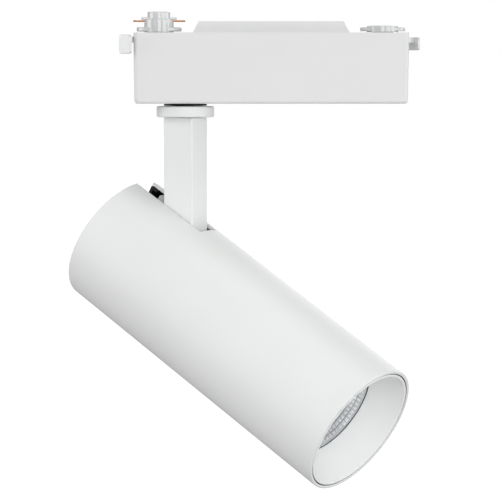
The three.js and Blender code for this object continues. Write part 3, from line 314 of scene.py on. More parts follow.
def circuit_board():
    """Green solder mask over copper tracks, which show as paler lines, with tinned pads on a 2.54 mm grid."""
    material, tree, shader, place = start_material("green_solder_mask", {"Roughness": 0.35})
    tracks = add(tree, "ShaderNodeTexBrick", {"Vector": place, "Scale": per(10), "Mortar Size": 0.03})
    for number, code in ((1, "#1b5a36"), (2, "#1f6a3f"), (3, "#2f8a55")):
        tracks.inputs[number].default_value = linear(code)
    pads = add(tree, "ShaderNodeTexVoronoi", {"Vector": place, "Scale": per(2.54), "Randomness": 0.15})
    is_pad = add(tree, MATH, {0: pads.outputs["Distance"], 1: 0.22}, operation="LESS_THAN")
    tin = linear("#c9ccd0")
    tone = add(tree, "ShaderNodeMix", {0: is_pad.outputs[0], 6: tracks.outputs[0], 7: tin}, data_type="RGBA")
    bump = add(tree, "ShaderNodeBump", {"Height": tracks.outputs[1], "Distance": 0.03 * MM})
    tree.links.new(tone.outputs[2], shader.inputs["Base Color"])
    tree.links.new(bump.outputs[0], shader.inputs["Normal"])
    return material


BOARD = circuit_board()
print("finishes:", len([made for made in bpy.data.materials if made.use_nodes]))

# %% [markdown]
# ## Helpers for meshes
# A lathe for what is turned, a prism for what is cut from a plate or extruded, and booleans to join and
# cut them. Every helper works in local millimetres. `keep` is the last step for each piece: it moves the
# mesh into place, so that the object itself stays at the origin, sets smooth shading, parents the piece to
# the empty of its body and hides the CAD nodes it stands for.

# %% Outlines


def rounded(corners, steps=6):
    """Outline from (x, y, radius) corners, each rounded to its radius."""
    outline = []
    for number, (x, y, radius) in enumerate(corners):
        corner = Vector((x, y))
        if radius == 0:
            outline.append((x, y))
            continue
        before = (Vector(corners[number - 1][:2]) - corner).normalized()
        after = (Vector(corners[(number + 1) % len(corners)][:2]) - corner).normalized()
        half = before.angle(after) / 2
        centre = corner + (before + after).normalized() * (radius / math.sin(half))
        start = corner + before * (radius / math.tan(half)) - centre
        end = corner + after * (radius / math.tan(half)) - centre
        sweep = start.angle(end)
        for step in range(steps + 1):
            share = step / steps
            arm = start * math.sin((1 - share) * sweep) + end * math.sin(share * sweep)
            outline.append(tuple(centre + arm / math.sin(sweep)))
    return outline


def rectangle(x0, x1, y0, y1, radius=0.0, steps=6):
    return rounded([(x0, y0, radius), (x1, y0, radius), (x1, y1, radius), (x0, y1, radius)], steps)


def circle(radius, sides=96):
    turns = [2 * math.pi * i / sides for i in range(sides)]
    return [(radius * math.cos(turn), radius * math.sin(turn)) for turn in turns]


# %% Meshes
@contextlib.contextmanager
def edited(mesh):
    """A mesh opened for editing, and written back at the end."""
    opened = bmesh.new()
    opened.from_mesh(mesh)
    yield opened
    opened.to_mesh(mesh)
    opened.free()


def loft(name, loops, around=False):
    """A closed solid through loops of points: its ends are capped, or joined if around is set."""
    count = len(loops[0])
    faces = []
    for number in range(len(loops) if around else len(loops) - 1):
        a, b = number * count, (number + 1) % len(loops) * count
        faces += [(a + i, a + (i + 1) % count, b + (i + 1) % count, b + i) for i in range(count)]
    if not around:
        faces += [tuple(range(count)), tuple(range((len(loops) - 1) * count, len(loops) * count))]
    mesh = bpy.data.meshes.new(name)
    mesh.from_pydata([point for loop in loops for point in loop], [], faces)
    with edited(mesh) as tidy:
        bmesh.ops.remove_doubles(tidy, verts=tidy.verts, dist=1e-4)
        bmesh.ops.dissolve_degenerate(tidy, edges=tidy.edges, dist=1e-5)
        bmesh.ops.delete(tidy, geom=[edge for edge in tidy.edges if not edge.link_faces], context="EDGES")
        bmesh.ops.recalc_face_normals(tidy, faces=tidy.faces)
    return linked(name, mesh)


def lathe(name, outline, sides=192):
    """Turns an outline of (radius, height) points about Z."""
    turns = [2 * math.pi * i / sides for i in range(sides)]
    loops = [[(r * math.cos(t), r * math.sin(t), z) for t in turns] for r, z in outline]
    return loft(name, loops, around=True)


def inset(outline, distance):
    """Moves an outline inwards by a distance. The outline runs anticlockwise."""
    moved = []
    for number, (x, y) in enumerate(outline):
        here = Vector((x, y))
        first = (here - Vector(outline[number - 1])).normalized()
        second = (Vector(outline[(number + 1) % len(outline)]) - here).normalized()
        inwards = Vector((-first.y - second.y, first.x + second.x)).normalized()
        lean = max(0.3, inwards.dot(Vector((-first.y, first.x))))
        moved.append(tuple(here + inwards * distance / lean))
    return moved


def prism(name, outline, low, high, edge=0.0, steps=4):
    """An outline pulled up from low to high, with both rims rounded to a radius of edge."""
    turns = [math.pi / 2 * step / steps for step in range(steps + 1)]
    rim = [(edge * (1 - math.sin(t)), edge * (1 - math.cos(t))) for t in turns] if edge else [(0, 0)]
    levels = [(d, low + rise) for d, rise in rim] + [(d, high - rise) for d, rise in reversed(rim)]
    return loft(name, [[(x, y, z) for x, y in inset(outline, d)] for d, z in levels])


def turned_to(made, matrix):
    """Applies a matrix to an object's mesh."""
    made.data.transform(matrix)
    if matrix.determinant() < 0:
        made.data.flip_normals()
    return made


UPRIGHT = Matrix.Rotation(math.pi / 2, 4, "X")  # what pointed along Z then points along -Y


def baked(made):
    """Replaces an object's mesh by what its modifiers make of it."""
    graph = bpy.context.evaluated_depsgraph_get()
    made_mesh = bpy.data.meshes.new_from_object(made.evaluated_get(graph))
    made.modifiers.clear()
    made.data = made_mesh
    return made


MERGE = 0.002  # points closer than this are one point


def boolean(target, operation, tools):
    """Joins, cuts or intersects with each tool, then merges the slivers that are left where surfaces meet."""
    for tool in tools:
        step = target.modifiers.new("boolean", "BOOLEAN")
        step.operation = operation
        step.solver = "EXACT"
        step.object = tool
    baked(target)
    for tool in tools:
        bpy.data.objects.remove(tool)
    with edited(target.data) as merged:
        bmesh.ops.remove_doubles(merged, verts=merged.verts, dist=MERGE)
        bmesh.ops.dissolve_degenerate(merged, edges=merged.edges, dist=MERGE)
    return target


def cut(target, *tools):
    return boolean(target, "DIFFERENCE", tools)


def join(target, *tools):
    return boolean(target, "UNION", tools)


# %% The last step for each piece
def keep(made, local, body, finish, stands_for, crease=28):
    """Puts a mesh in place, shades and paints it, and hands it to its body instead of its CAD nodes."""
    made.data.transform(local)
    made.data.shade_smooth()
    made.data.set_sharp_from_angle(angle=math.radians(crease))
    if not made.data.materials:
        made.data.materials.append(finish)
    elif len(made.data.materials) == 1:
        made.data.materials[0] = finish
    weigh = made.modifiers.new("flat faces stay flat", "WEIGHTED_NORMAL")
    weigh.keep_sharp = True
    baked(made)
    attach(made, body)
    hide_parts(*stands_for)
    print(made.name, len(made.data.polygons), "faces on", body)
    return made


def from_cad(name, node, local):
    """A copy of a CAD node's mesh in local millimetres, with its loose triangles merged into flat faces."""
    made = linked(name, nodes[node].data.copy())
    made.data.materials.clear()
    made.data.transform(local.inverted())
    for layer in list(made.data.attributes):
        if layer.name.startswith(("UVMap", "custom_normal")):
            made.data.attributes.remove(layer)
    with edited(made.data) as flat:
        bmesh.ops.remove_doubles(flat, verts=flat.verts, dist=1e-3)
        bmesh.ops.dissolve_limit(flat, angle_limit=math.radians(1), verts=flat.verts, edges=flat.edges)
        for edge in flat.edges:
            edge.smooth = True
    return made


def bevelled(made, width, steps=3, angle=35):
    """Rounds every edge sharper than an angle."""
    bevel = made.modifiers.new("rounded edges", "BEVEL")
    bevel.width = width
    bevel.segments = steps
    bevel.limit_method = "ANGLE"
    bevel.angle_limit = math.radians(angle)
    return baked(made)


# %% [markdown]
# ## Geometry Nodes
# What repeats is grown by a tree: a mesh goes in, named inputs hold the sizes, and Realize Instances and
# Set Material end it. `grown` sets the inputs by their identifiers before the tree first runs, and keeps
# only the plain mesh.

# %% Helpers for trees


def start_tree(name, inputs):
    """A geometry tree with a geometry in and out, and the named inputs, each given with its socket type."""
    tree = bpy.data.node_groups.new(name, "GeometryNodeTree")
    tree.interface.new_socket("Geometry", in_out="OUTPUT", socket_type="NodeSocketGeometry")
    for label, kind in {"Geometry": "Geometry", **inputs, "Material": "Material"}.items():
        tree.interface.new_socket(label, in_out="INPUT", socket_type="NodeSocket" + kind)
    return tree, add(tree, "NodeGroupInput").outputs


def round_z(tree):
    """Each point's X, Y and Z, and its angle about Z."""
    place = add(tree, "GeometryNodeInputPosition").outputs[0]
    parts = add(tree, "ShaderNodeSeparateXYZ", {0: place}).outputs
    return parts, add(tree, MATH, {0: parts["Y"], 1: parts["X"]}, operation="ARCTAN2").outputs[0]


def end_tree(tree, geometry, material):
    real = add(tree, "GeometryNodeRealizeInstances", {"Geometry": geometry}).outputs[0]
    painted = add(tree, "GeometryNodeSetMaterial", {"Geometry": real, "Material": material}).outputs[0]
    add(tree, "NodeGroupOutput", {"Geometry": painted})


def grown(name, mesh, tree, values):
    """What a tree makes of a mesh, as an object with a plain mesh."""
    made = linked(name, mesh)
    step = made.modifiers.new("tree", "NODES")
    step.node_group = tree
    for item in tree.interface.items_tree:
        if item.in_out == "INPUT" and item.name in values:
            step[item.identifier] = values[item.name]
    return baked(made)


def points_mesh(places):
    mesh = bpy.data.meshes.new("places")
    mesh.from_pydata(places, [], [])
    return mesh


# %% [markdown]
# ## Screws
# A machine screw is a head, a shank with a thread, and a hole for the driver. Real threads could be cut
# with a boolean, but a thread is a rule: the radius rises and falls with height and turn. So the tree
# bends a plain cylinder by that rule, joins the head, cuts a hexagon hole and sets one screw on every
# point of the mesh that goes in.

# %% The screw tree


SCREW_SIZES = ("Head radius", "Head foot radius", "Head height", "Shank radius", "Length", "Socket radius")
SCREW_PITCH = 0.7
THREAD_DEPTH = -0.3  # share of the radius, for each half turn away from the crest
SOCKET_LIFT = 0.95  # share of the head's height, so that the socket stops inside it


def screw_tree():
    floats = {size: "Float" for size in (*SCREW_SIZES, "Pitch")}
    tree, source = start_tree("screws", {**floats, "Turn": "Rotation"})
    head = add(
        tree,
        "GeometryNodeMeshCone",
        {"Vertices": 48, "Radius Top": source["Head radius"], "Radius Bottom": source["Head foot radius"],
         "Depth": source["Head height"]},
    )
    shank = add(
        tree,
        "GeometryNodeMeshCylinder",
        {"Vertices": 24, "Side Segments": 48, "Radius": source["Shank radius"], "Depth": source["Length"]},
    )
    parts, angle = round_z(tree)
    turns = add(tree, MATH, {0: angle, 1: 2 * math.pi}, operation="DIVIDE").outputs[0]
    rise = add(tree, MATH, {0: parts["Z"], 1: source["Pitch"]}, operation="DIVIDE").outputs[0]
    phase = add(tree, MATH, {0: rise, 1: turns}, operation="SUBTRACT").outputs[0]
    ridge = add(tree, MATH, {0: phase, 1: 0.5}, operation="PINGPONG").outputs[0]
    depth = add(tree, MATH, {0: ridge, 1: THREAD_DEPTH}, operation="MULTIPLY").outputs[0]
    across = add(tree, "ShaderNodeCombineXYZ", {"X": parts["X"], "Y": parts["Y"]}).outputs[0]
    groove = add(tree, "ShaderNodeVectorMath", {0: across, "Scale": depth}, operation="SCALE").outputs[0]
    cylinder = shank.outputs[0]
    threaded = add(tree, "GeometryNodeSetPosition", {"Geometry": cylinder, "Offset": groove}).outputs[0]
    half = add(tree, MATH, {0: source["Length"], 1: -0.5}, operation="MULTIPLY").outputs[0]
    down = add(tree, "ShaderNodeCombineXYZ", {"Z": half}).outputs[0]
    hung = add(tree, "GeometryNodeTransform", {"Geometry": threaded, "Translation": down}).outputs[0]
    socket = add(
        tree,
        "GeometryNodeMeshCylinder",
        {"Vertices": 6, "Radius": source["Socket radius"], "Depth": source["Head height"]},
    ).outputs[0]
    lift = add(tree, MATH, {0: source["Head height"], 1: SOCKET_LIFT}, operation="MULTIPLY").outputs[0]
    up = add(tree, "ShaderNodeCombineXYZ", {"Z": lift}).outputs[0]
    raised = add(tree, "GeometryNodeTransform", {"Geometry": socket, "Translation": up}).outputs[0]
    whole = add(tree, "GeometryNodeMeshBoolean", {1: head.outputs[0]}, operation="UNION", solver="EXACT")
    tree.links.new(hung, whole.inputs[1])
    drilled = add(tree, "GeometryNodeMeshBoolean", {0: whole.outputs[0], 1: raised}, operation="DIFFERENCE")
    drilled.solver = "EXACT"
    spread = add(
        tree,
        "GeometryNodeInstanceOnPoints",
        {"Points": source["Geometry"], "Instance": drilled.outputs[0], "Rotation": source["Turn"]},
    )
    end_tree(tree, spread.outputs[0], source["Material"])
    return tree


SCREWS = screw_tree()


def screws(name, local, body, places, sizes, turn, stands_for):
    """Screws at places, whose heads bear there. Turn is about Y, in degrees."""
    turned = (0, math.radians(turn), 0)
    values = dict(zip(SCREW_SIZES, sizes)) | {"Pitch": SCREW_PITCH, "Turn": turned, "Material": STEEL}
    made = grown(name, points_mesh(places), SCREWS, values)
    return keep(made, local, body, STEEL, stands_for)


# %% [markdown]
# ## Lamp tube
# The body of the lamp is a drawn aluminium tube with a powder coat outside and a slot that the arm swings
# through. Its inside is flat black, partly a coat and partly painted shade, so that the slot shows dark. A
# lathe gives the tube with a small rounding at both rims, cut into short lengths so that the shading stays
# even beside the slot, and a boolean cuts the slot.

# %% Sizes of the lamp tube
GAP = 0.3
shell_low, shell_high = span("lamp_tube", TUBE)
RADIUS, REAR, RIM = shell_high.y, shell_low.z, shell_high.z
BORE = span("rear_cap", TUBE)[1].y + GAP
SLOT_HALF = 7.6
SLOT_FRONT = 11.85
SLOT_FOOT = -16.4  # in the rear cap, from the tube's axis
SLOT_CORNER = 1.2
print("tube", [round(v, 2) for v in (RADIUS, BORE, REAR, RIM)])


def divided(outline, pitch):
    """Cuts the long sides of an outline into lengths of about pitch."""
    fine = []
    for number, point in enumerate(outline):
        here, after = Vector(point), Vector(outline[(number + 1) % len(outline)])
        count = max(1, round((after - here).length / pitch))
        fine += [tuple(here.lerp(after, step / count)) for step in range(count)]
    return fine


# %% Two coats on one piece: the finish, and flat black that is partly painted shade
def coat_and_shade(made, finish, gets_black):
    """The finish outside, and flat black on the faces that the given test picks by middle and outward tilt: partly
    an inner coat, partly painted shade.
    """
    made.data.materials.clear()
    for coat in (finish, BLACK_COAT_AND_SHADE):
        made.data.materials.append(coat)
    for face in made.data.polygons:
        out = Vector((face.center.x, face.center.y, 0)).normalized()
        if gets_black(face.center, face.normal.dot(out)):
            face.material_index = 1
    return made


# Closer to the rim than this, the black is painted shade in the groove between the tube and the bezel.
COAT_EDGE = 0.9  # the white coat reaches this far into the rim
SQUARE_ON = 0.9  # a face with more tilt than this looks straight outwards, or inwards if it is negative

# %% Lamp tube
wall = rounded([(BORE, REAR, 0.35), (RADIUS, REAR, 0.5), (RADIUS, RIM, 0.7), (BORE, RIM, 0.5)], 4)
tube = lathe("tube_shell", divided(wall, 3), 240)
slot_plan = rectangle(2 * REAR, SLOT_FRONT, -SLOT_HALF, SLOT_HALF, SLOT_CORNER)
slot_tool = turned_to(prism("slot_tool", slot_plan, 0, 2 * RADIUS), Matrix.Rotation(-math.pi / 2, 4, "Y"))
cut(tube, slot_tool)
# Flat black on the tube's inner faces: partly an inner coat, and partly painted shade seen through the slot.
coat_and_shade(tube, POWDER, lambda middle, tilt: tilt < -SQUARE_ON and middle.z < RIM - COAT_EDGE)
keep(tube, TUBE, "lamp_head", POWDER, ["lamp_tube"])

# %% Rear cap
cap_radius = BORE - GAP
plate, lip = 1.8, 3
cap_outline = rounded(
    [
        (0, REAR, 0), (cap_radius, REAR, 0.6), (cap_radius, REAR + plate + lip, 0.3),
        (cap_radius - plate, REAR + plate + lip, 0.3), (cap_radius - plate, REAR + plate, 0.8),
        (0, REAR + plate, 0),
    ],
    5,
)
cap = lathe("rear_cover", divided(cap_outline, 4), 240)
cap_slot = rectangle(-2 * RADIUS, SLOT_FOOT, -SLOT_HALF, SLOT_HALF, SLOT_CORNER)
cut(cap, prism("slot_tool", cap_slot, 2 * REAR, 0))
# Flat black on the cap's inner faces: partly an inner coat, and partly painted shade seen through the slot.
coat_and_shade(cap, POWDER, lambda middle, tilt: middle.z > REAR + plate - 0.1)
keep(cap, TUBE, "lamp_head", POWDER, ["rear_cap"])

# %% [markdown]
# ## Bezel, dark ring and reflector
# Light leaves through a smooth white funnel. Behind it a thin dark ring holds the rim of the reflector, a
# metallised cup whose small cushions mix the light. All three are turned shapes. The cushions follow a
# rule, so a tree pushes them out of the smooth cup: each is a sine bump, so many around and so many deep.
# The faces along the seams between them get a darker, slightly rougher metal, which is painted shade in the
# creases, and a thin smooth rim in front of the last row stands inside the dark ring.

# %% Bezel
bezel_low, bezel_high = span("bezel", TUBE)
BEZEL_LIP, BEZEL_ROUND, BEZEL_FLANGE, BEZEL_SEAT = 1.4, 0.7, 2, 3.8
bezel_wall, funnel_foot, funnel_mouth = 1.7, 26.6, bezel_high.y - BEZEL_LIP
slope = (funnel_mouth - funnel_foot) / (bezel_high.z - BEZEL_ROUND - bezel_low.z)
flange_top, lip_back = bezel_low.z + BEZEL_FLANGE, bezel_high.z - BEZEL_SEAT
bezel_outline = rounded(
    [
        (funnel_foot, bezel_low.z, 0.2),
        (bezel_high.y, bezel_low.z, 0.3),
        (bezel_high.y, flange_top, 0.3),
        (funnel_foot + slope * BEZEL_FLANGE + bezel_wall, flange_top, 0.4),
        (funnel_foot + slope * (lip_back - bezel_low.z) + bezel_wall, lip_back, 0.4),
        (bezel_high.y, lip_back, 0.3),
        (bezel_high.y, bezel_high.z, 0.4),
        (funnel_mouth, bezel_high.z, 0.5),
    ],
    6,
)
bezel = lathe("bezel_funnel", divided(bezel_outline, 5), 240)
# Flat black on the bezel's outer side below its lip: painted shade in the groove between the bezel and the tube.
coat_and_shade(bezel, FUNNEL, lambda middle, tilt: tilt > SQUARE_ON and middle.z < bezel_high.z - COAT_EDGE)
keep(bezel, TUBE, "lamp_head", FUNNEL, ["bezel"])

# %% Dark ring
ring_low, ring_high = span("reflector_ring", TUBE)
ring_bore = 26.5
ring_outline = rounded(
    [(ring_bore, ring_low.z, 0.12), (ring_high.y, ring_low.z, 0.12), (ring_high.y, ring_high.z, 0.12),
     (ring_bore, ring_high.z, 0.25)], 4
)
keep(lathe("dark_ring", ring_outline, 240), TUBE, "lamp_head", DARK, ["reflector_ring"])


# %% The cushion tree
def cushion_tree():
    sizes = ("Around", "Rows", "Back", "Front", "Bulge")
    tree, source = start_tree("cushions", {size: "Float" for size in sizes})
    parts, angle = round_z(tree)
    turns = add(tree, MATH, {0: angle, 1: source["Around"]}, operation="MULTIPLY").outputs[0]
    half_turns = add(tree, MATH, {0: turns, 1: 0.5}, operation="MULTIPLY").outputs[0]
    ends = {"From Min": source["Back"], "From Max": source["Front"], "To Max": source["Rows"]}
    depth = add(tree, "ShaderNodeMapRange", {"Value": parts["Z"], **ends}, clamp=False).outputs[0]
    half_rows = add(tree, MATH, {0: depth, 1: math.pi}, operation="MULTIPLY").outputs[0]
    waves = []
    for phase in (half_turns, half_rows):
        sine = add(tree, MATH, {0: phase}, operation="SINE").outputs[0]
        waves.append(add(tree, MATH, {0: sine}, operation="ABSOLUTE").outputs[0])
    bump = add(tree, MATH, {0: waves[0], 1: waves[1]}, operation="MULTIPLY").outputs[0]
    inside = add(tree, MATH, {0: depth, 1: source["Rows"]}, operation="LESS_THAN").outputs[0]
    kept = add(tree, MATH, {0: bump, 1: inside}, operation="MULTIPLY").outputs[0]
    height = add(tree, MATH, {0: kept, 1: source["Bulge"]}, operation="MULTIPLY").outputs[0]
    facing = add(tree, "GeometryNodeInputNormal").outputs[0]
    push = add(tree, "ShaderNodeVectorMath", {0: facing, "Scale": height}, operation="SCALE").outputs[0]
    moved = add(tree, "GeometryNodeSetPosition", {"Geometry": source["Geometry"], "Offset": push}).outputs[0]
    end_tree(tree, moved, source["Material"])
    return tree


# %% Reflector
AROUND, ROWS, FINE = 64, 16, 4  # cushions round and deep, and faces along each side of a cushion
BULGE = 0.12
cup_low, cup_high = span("reflector", TUBE)
throat, mouth, cup_wall = 8.6, 26.2, 1.2


def cup_radius(share):
    return math.sqrt(throat**2 + (mouth**2 - throat**2) * share)


shares = [step / (ROWS * FINE) for step in range(ROWS * FINE + 1)]
inside = [(cup_radius(s), cup_low.z + (cup_high.z - cup_low.z) * s) for s in shares]
outside = [(r + cup_wall, z) for r, z in inside if z < cup_high.z - cup_wall]
flange_back = cup_high.z - cup_wall
flange = [(mouth + cup_wall, flange_back), (cup_high.y, flange_back), (cup_high.y, cup_high.z)]
# A smooth thin rim stands inside the dark ring, so that only a fine line of the ring shows.
rim_wall, rim_top = 0.22, cup_high.z + 1.0
rim = [(mouth + rim_wall, cup_high.z), (mouth + rim_wall, rim_top), (mouth, rim_top)]
cup = lathe("smooth_cup", outside + flange + rim + inside[::-1], AROUND * FINE)
facets = grown(
    "faceted_reflector",
    cup.data,
    cushion_tree(),
    {"Around": float(AROUND), "Rows": float(ROWS), "Back": cup_low.z, "Front": cup_high.z, "Bulge": BULGE,
     "Material": MIRROR},
)
bpy.data.objects.remove(cup)
# The seams between the cushions get painted shade, a darker and slightly rougher metal: one strip of faces along
# two sides of each.
facets.data.materials.append(SEAM_SHADE)
for face in facets.data.polygons:
    x, y, z = face.center
    row = (z - cup_low.z) / (cup_high.z - cup_low.z) * ROWS
    column = math.atan2(y, x) / (2 * math.pi) * AROUND
    faces_axis = face.normal.x * x + face.normal.y * y < 0
    if faces_axis and row < ROWS and min(row % 1, column % 1) < 1 / FINE:
        face.material_index = 1
keep(facets, TUBE, "lamp_head", MIRROR, ["reflector"], 10)

# %% [markdown]
# ## Tilt hinge
# Two steel ears hold the arm between friction washers, on a pin with a spring and a nut. The bracket is a
# folded plate whose flat faces are right in the CAD model, so a copy of it gets its edges rounded with a
# bevel. The round pieces are turned again with more sides.

# %% Bracket
ears = bevelled(from_cad("hinge_ears", "hinge_bracket", HEAD), 0.4)
keep(ears, HEAD, "lamp_head", PHOSPHATE, ["hinge_bracket"])

# %% Pin, nut, spring and washers
PIN_HOLE = 2.8
PIN_HEAD = 2.8
PIN_KEY, PIN_KEY_DEPTH = 1.8, 1.6
pin_low, pin_high = span("pivot_pin", HEAD)
head_foot = pin_low.y + PIN_HEAD
pin_outline = rounded(
    [
        (0, -pin_high.y, 0), (PIN_HOLE - GAP, -pin_high.y, 0.4), (PIN_HOLE - GAP, -head_foot, 0.1),
        (pin_high.z, -head_foot, 0.2), (pin_high.z, -pin_low.y, 0.8), (0, -pin_low.y, 0),
    ],
    5,
)
pin_key = prism("key", circle(PIN_KEY, 6), -pin_low.y - PIN_KEY_DEPTH, -pin_low.y + 1)
pin = cut(lathe("hinge_pin", pin_outline, 64), pin_key)
keep(turned_to(pin, UPRIGHT), HEAD, "lamp_head", STEEL, ["pivot_pin"])

nut_low, nut_high = span("pivot_nut", HEAD)
nut = prism("hinge_nut", circle(nut_high.x, 6), -nut_high.y, -nut_low.y, 0.5)
cut(nut, prism("hole", circle(PIN_HOLE, 48), -nut_high.y - 1, -nut_low.y + 1))
keep(turned_to(nut, UPRIGHT), HEAD, "lamp_head", STEEL, ["pivot_nut"])


def pin_washer(name, node, finish):
    """A flat ring on the pin, as wide and thick as its CAD node."""
    low, high = span(node, HEAD)
    edge = (high.y - low.y) * 0.25
    outline = rectangle(PIN_HOLE, high.x, -high.y, -low.y, edge, 3)
    keep(turned_to(lathe(name, outline, 96), UPRIGHT), HEAD, "lamp_head", finish, [node])


pin_washer("spring_ring", "disc_spring", STEEL)
pin_washer("friction_ring_near", "friction_washer_1", BLACK)
pin_washer("friction_ring_far", "friction_washer_2", BLACK)

# %% [markdown]
# ## Heat sink and light source
# The heat sink is a black anodised extrusion, whose black is also painted shade in the slot: a round core
# with eighteen fins that reach almost to the tube. The tree sets a fin on each point of a circle, turned by
# its number, and joins them to the core.


# %% The fin tree
FIN_ROOT = 6.0  # where a fin starts, well inside the core


def fin_tree():
    sizes = ("Core radius", "Fin radius", "Thickness", "Length")
    tree, source = start_tree("fins", {"Count": "Int", **{size: "Float" for size in sizes}})
    core = add(
        tree,
        "GeometryNodeMeshCylinder",
        {"Vertices": 96, "Radius": source["Core radius"], "Depth": source["Length"]},
    )
    reach = add(tree, MATH, {0: source["Fin radius"], 1: FIN_ROOT}, operation="SUBTRACT").outputs[0]
    sides = {"X": reach, "Y": source["Thickness"], "Z": source["Length"]}
    size = add(tree, "ShaderNodeCombineXYZ", sides).outputs[0]
    fin = add(tree, "GeometryNodeMeshCube", {"Size": size}).outputs[0]
    half = add(tree, MATH, {0: reach, 1: 2.0}, operation="DIVIDE").outputs[0]
    middle = add(tree, MATH, {0: half, 1: FIN_ROOT}, operation="ADD").outputs[0]
    out = add(tree, "ShaderNodeCombineXYZ", {"X": middle}).outputs[0]
    pushed = add(tree, "GeometryNodeTransform", {"Geometry": fin, "Translation": out}).outputs[0]
    axis = add(tree, "GeometryNodeMeshCircle", {"Vertices": source["Count"], "Radius": 0.0}).outputs[0]
    number = add(tree, "GeometryNodeInputIndex").outputs[0]
    step = add(tree, MATH, {0: 2 * math.pi, 1: source["Count"]}, operation="DIVIDE").outputs[0]
    shifted = add(tree, MATH, {0: number, 1: 0.5}, operation="ADD").outputs[0]
    angle = add(tree, MATH, {0: shifted, 1: step}, operation="MULTIPLY").outputs[0]
    turn = add(tree, "ShaderNodeCombineXYZ", {"Z": angle}).outputs[0]
    spread = {"Points": axis, "Instance": pushed, "Rotation": turn}
    fins = add(tree, "GeometryNodeInstanceOnPoints", spread).outputs[0]
    real = add(tree, "GeometryNodeRealizeInstances", {"Geometry": fins}).outputs[0]
    whole = add(tree, "GeometryNodeMeshBoolean", {1: core.outputs[0]}, operation="UNION", solver="EXACT")
    whole.inputs["Self Intersection"].default_value = True
    tree.links.new(real, whole.inputs[1])
    end_tree(tree, whole.outputs[0], source["Material"])
    return tree


# %% Heat sink
sink_low, sink_high = span("heat_sink", TUBE)
SINK_CORE, FIN_COUNT, FIN_THICKNESS = 14.0, 18, 1.6
BRACKET_AT = [(x, 0) for x in (-7, 7)]
HOLDER_AT = [(0, y) for y in (-19.8, 19.8)]
BRACKET_HOLE, BRACKET_HOLE_DEPTH = 2.1, 14
HOLDER_HOLE, HOLDER_HOLE_DEPTH = 1.6, 11
sink = grown(
    "finned_sink",
    points_mesh([(0, 0, 0)]),
    fin_tree(),
    {"Count": FIN_COUNT, "Core radius": SINK_CORE, "Fin radius": sink_high.y, "Thickness": FIN_THICKNESS,
     "Length": sink_high.z - sink_low.z, "Material": EXTRUDED},
)
turned_to(sink, Matrix.Translation((0, 0, (sink_low.z + sink_high.z) / 2)))


def holes(radius, low, high, places):
    """Tools that drill round holes from low to high."""
    bits = [prism("hole", circle(radius, 24), low, high) for _ in places]
    return [turned_to(bit, Matrix.Translation((x, y, 0))) for bit, (x, y) in zip(bits, places)]


cut(
    sink,
    *holes(BRACKET_HOLE, sink_low.z - 1, sink_low.z + BRACKET_HOLE_DEPTH, BRACKET_AT),
    *holes(HOLDER_HOLE, sink_high.z - HOLDER_HOLE_DEPTH, sink_high.z + 1, HOLDER_AT),
)
keep(sink, TUBE, "lamp_head", EXTRUDED, ["heat_sink"])

# %% Light source
emitter_low, emitter_high = span("led_emitter", TUBE)
cob_outline = rounded(
    [
        (0, emitter_low.z, 0), (emitter_high.y, emitter_low.z, 0.05), (emitter_high.y, emitter_high.z, 0.2),
        (emitter_high.y - 0.9, emitter_high.z, 0.2), (emitter_high.y - 1.1, emitter_high.z - 0.2, 0.1),
        (0, emitter_high.z - 0.12, 0),
    ],
    4,
)
keep(lathe("led_disc", cob_outline, 96), TUBE, "lamp_head", PHOSPHOR, ["led_emitter"])

holder_low, holder_high = span("led_holder", TUBE)
HOLDER_BORE, HOLDER_STEP, HOLDER_MOUTH = 8.2, 17.6, 9.4
holder_outline = rounded(
    [
        (HOLDER_BORE, emitter_low.z, 0.2), (HOLDER_STEP, emitter_low.z, 0.4),
        (HOLDER_STEP, holder_low.z, 0.2), (holder_high.x, holder_low.z, 0.3), (holder_high.x, holder_high.z, 0.5),
        (HOLDER_MOUTH, holder_high.z, 0.9),
    ],
    5,
)
holder = lathe("light_holder", holder_outline, 120)
cut(holder, *holes(HOLDER_HOLE, holder_low.z - 1, holder_high.z + 1, HOLDER_AT))
keep(holder, TUBE, "lamp_head", SATIN, ["led_holder"])

# %% Screws of the lamp head
bracket_at = span("bracket_screw_1", TUBE)[0].z + 2.6
screws(
    "bracket_screws", TUBE, "lamp_head",
    [(x, y, bracket_at) for x, y in BRACKET_AT],
    (3.4, 3.4, 2.6, 1.8, 14.0, 1.7), 180, ["bracket_screw_1", "bracket_screw_2"],
)
holder_at = span("holder_screw_1", TUBE)[1].z - 1.6
screws(
    "holder_screws", TUBE, "lamp_head",
    [(x, y, holder_at) for x, y in HOLDER_AT],
    (2.5, 2.5, 1.6, 1.3, 11.0, 1.2), 0, ["holder_screw_1", "holder_screw_2"],
)

# %% [markdown]
# ## Swivel and arm
# A painted disc turns under the box on a black bush, and a square tube hangs from it. The arm is drawn as
# a rounded column joined to a round eye at the tilt axis; its rounded edges catch the light as a fine
# bright line.

# %% Collar and bush
collar_low, collar_high = span("swivel_collar", ARM)
NIPPLE_HOLE = 5.3
collar_outline = rounded(
    [
        (NIPPLE_HOLE, collar_low.z, 0.2), (collar_high.y, collar_low.z, 0.9),
        (collar_high.y, collar_high.z, 0.9), (NIPPLE_HOLE, collar_high.z, 0.2),
    ],
    6,
)
keep(lathe("collar_disc", collar_outline, 192), ARM, "swivel", POWDER, ["swivel_collar"])

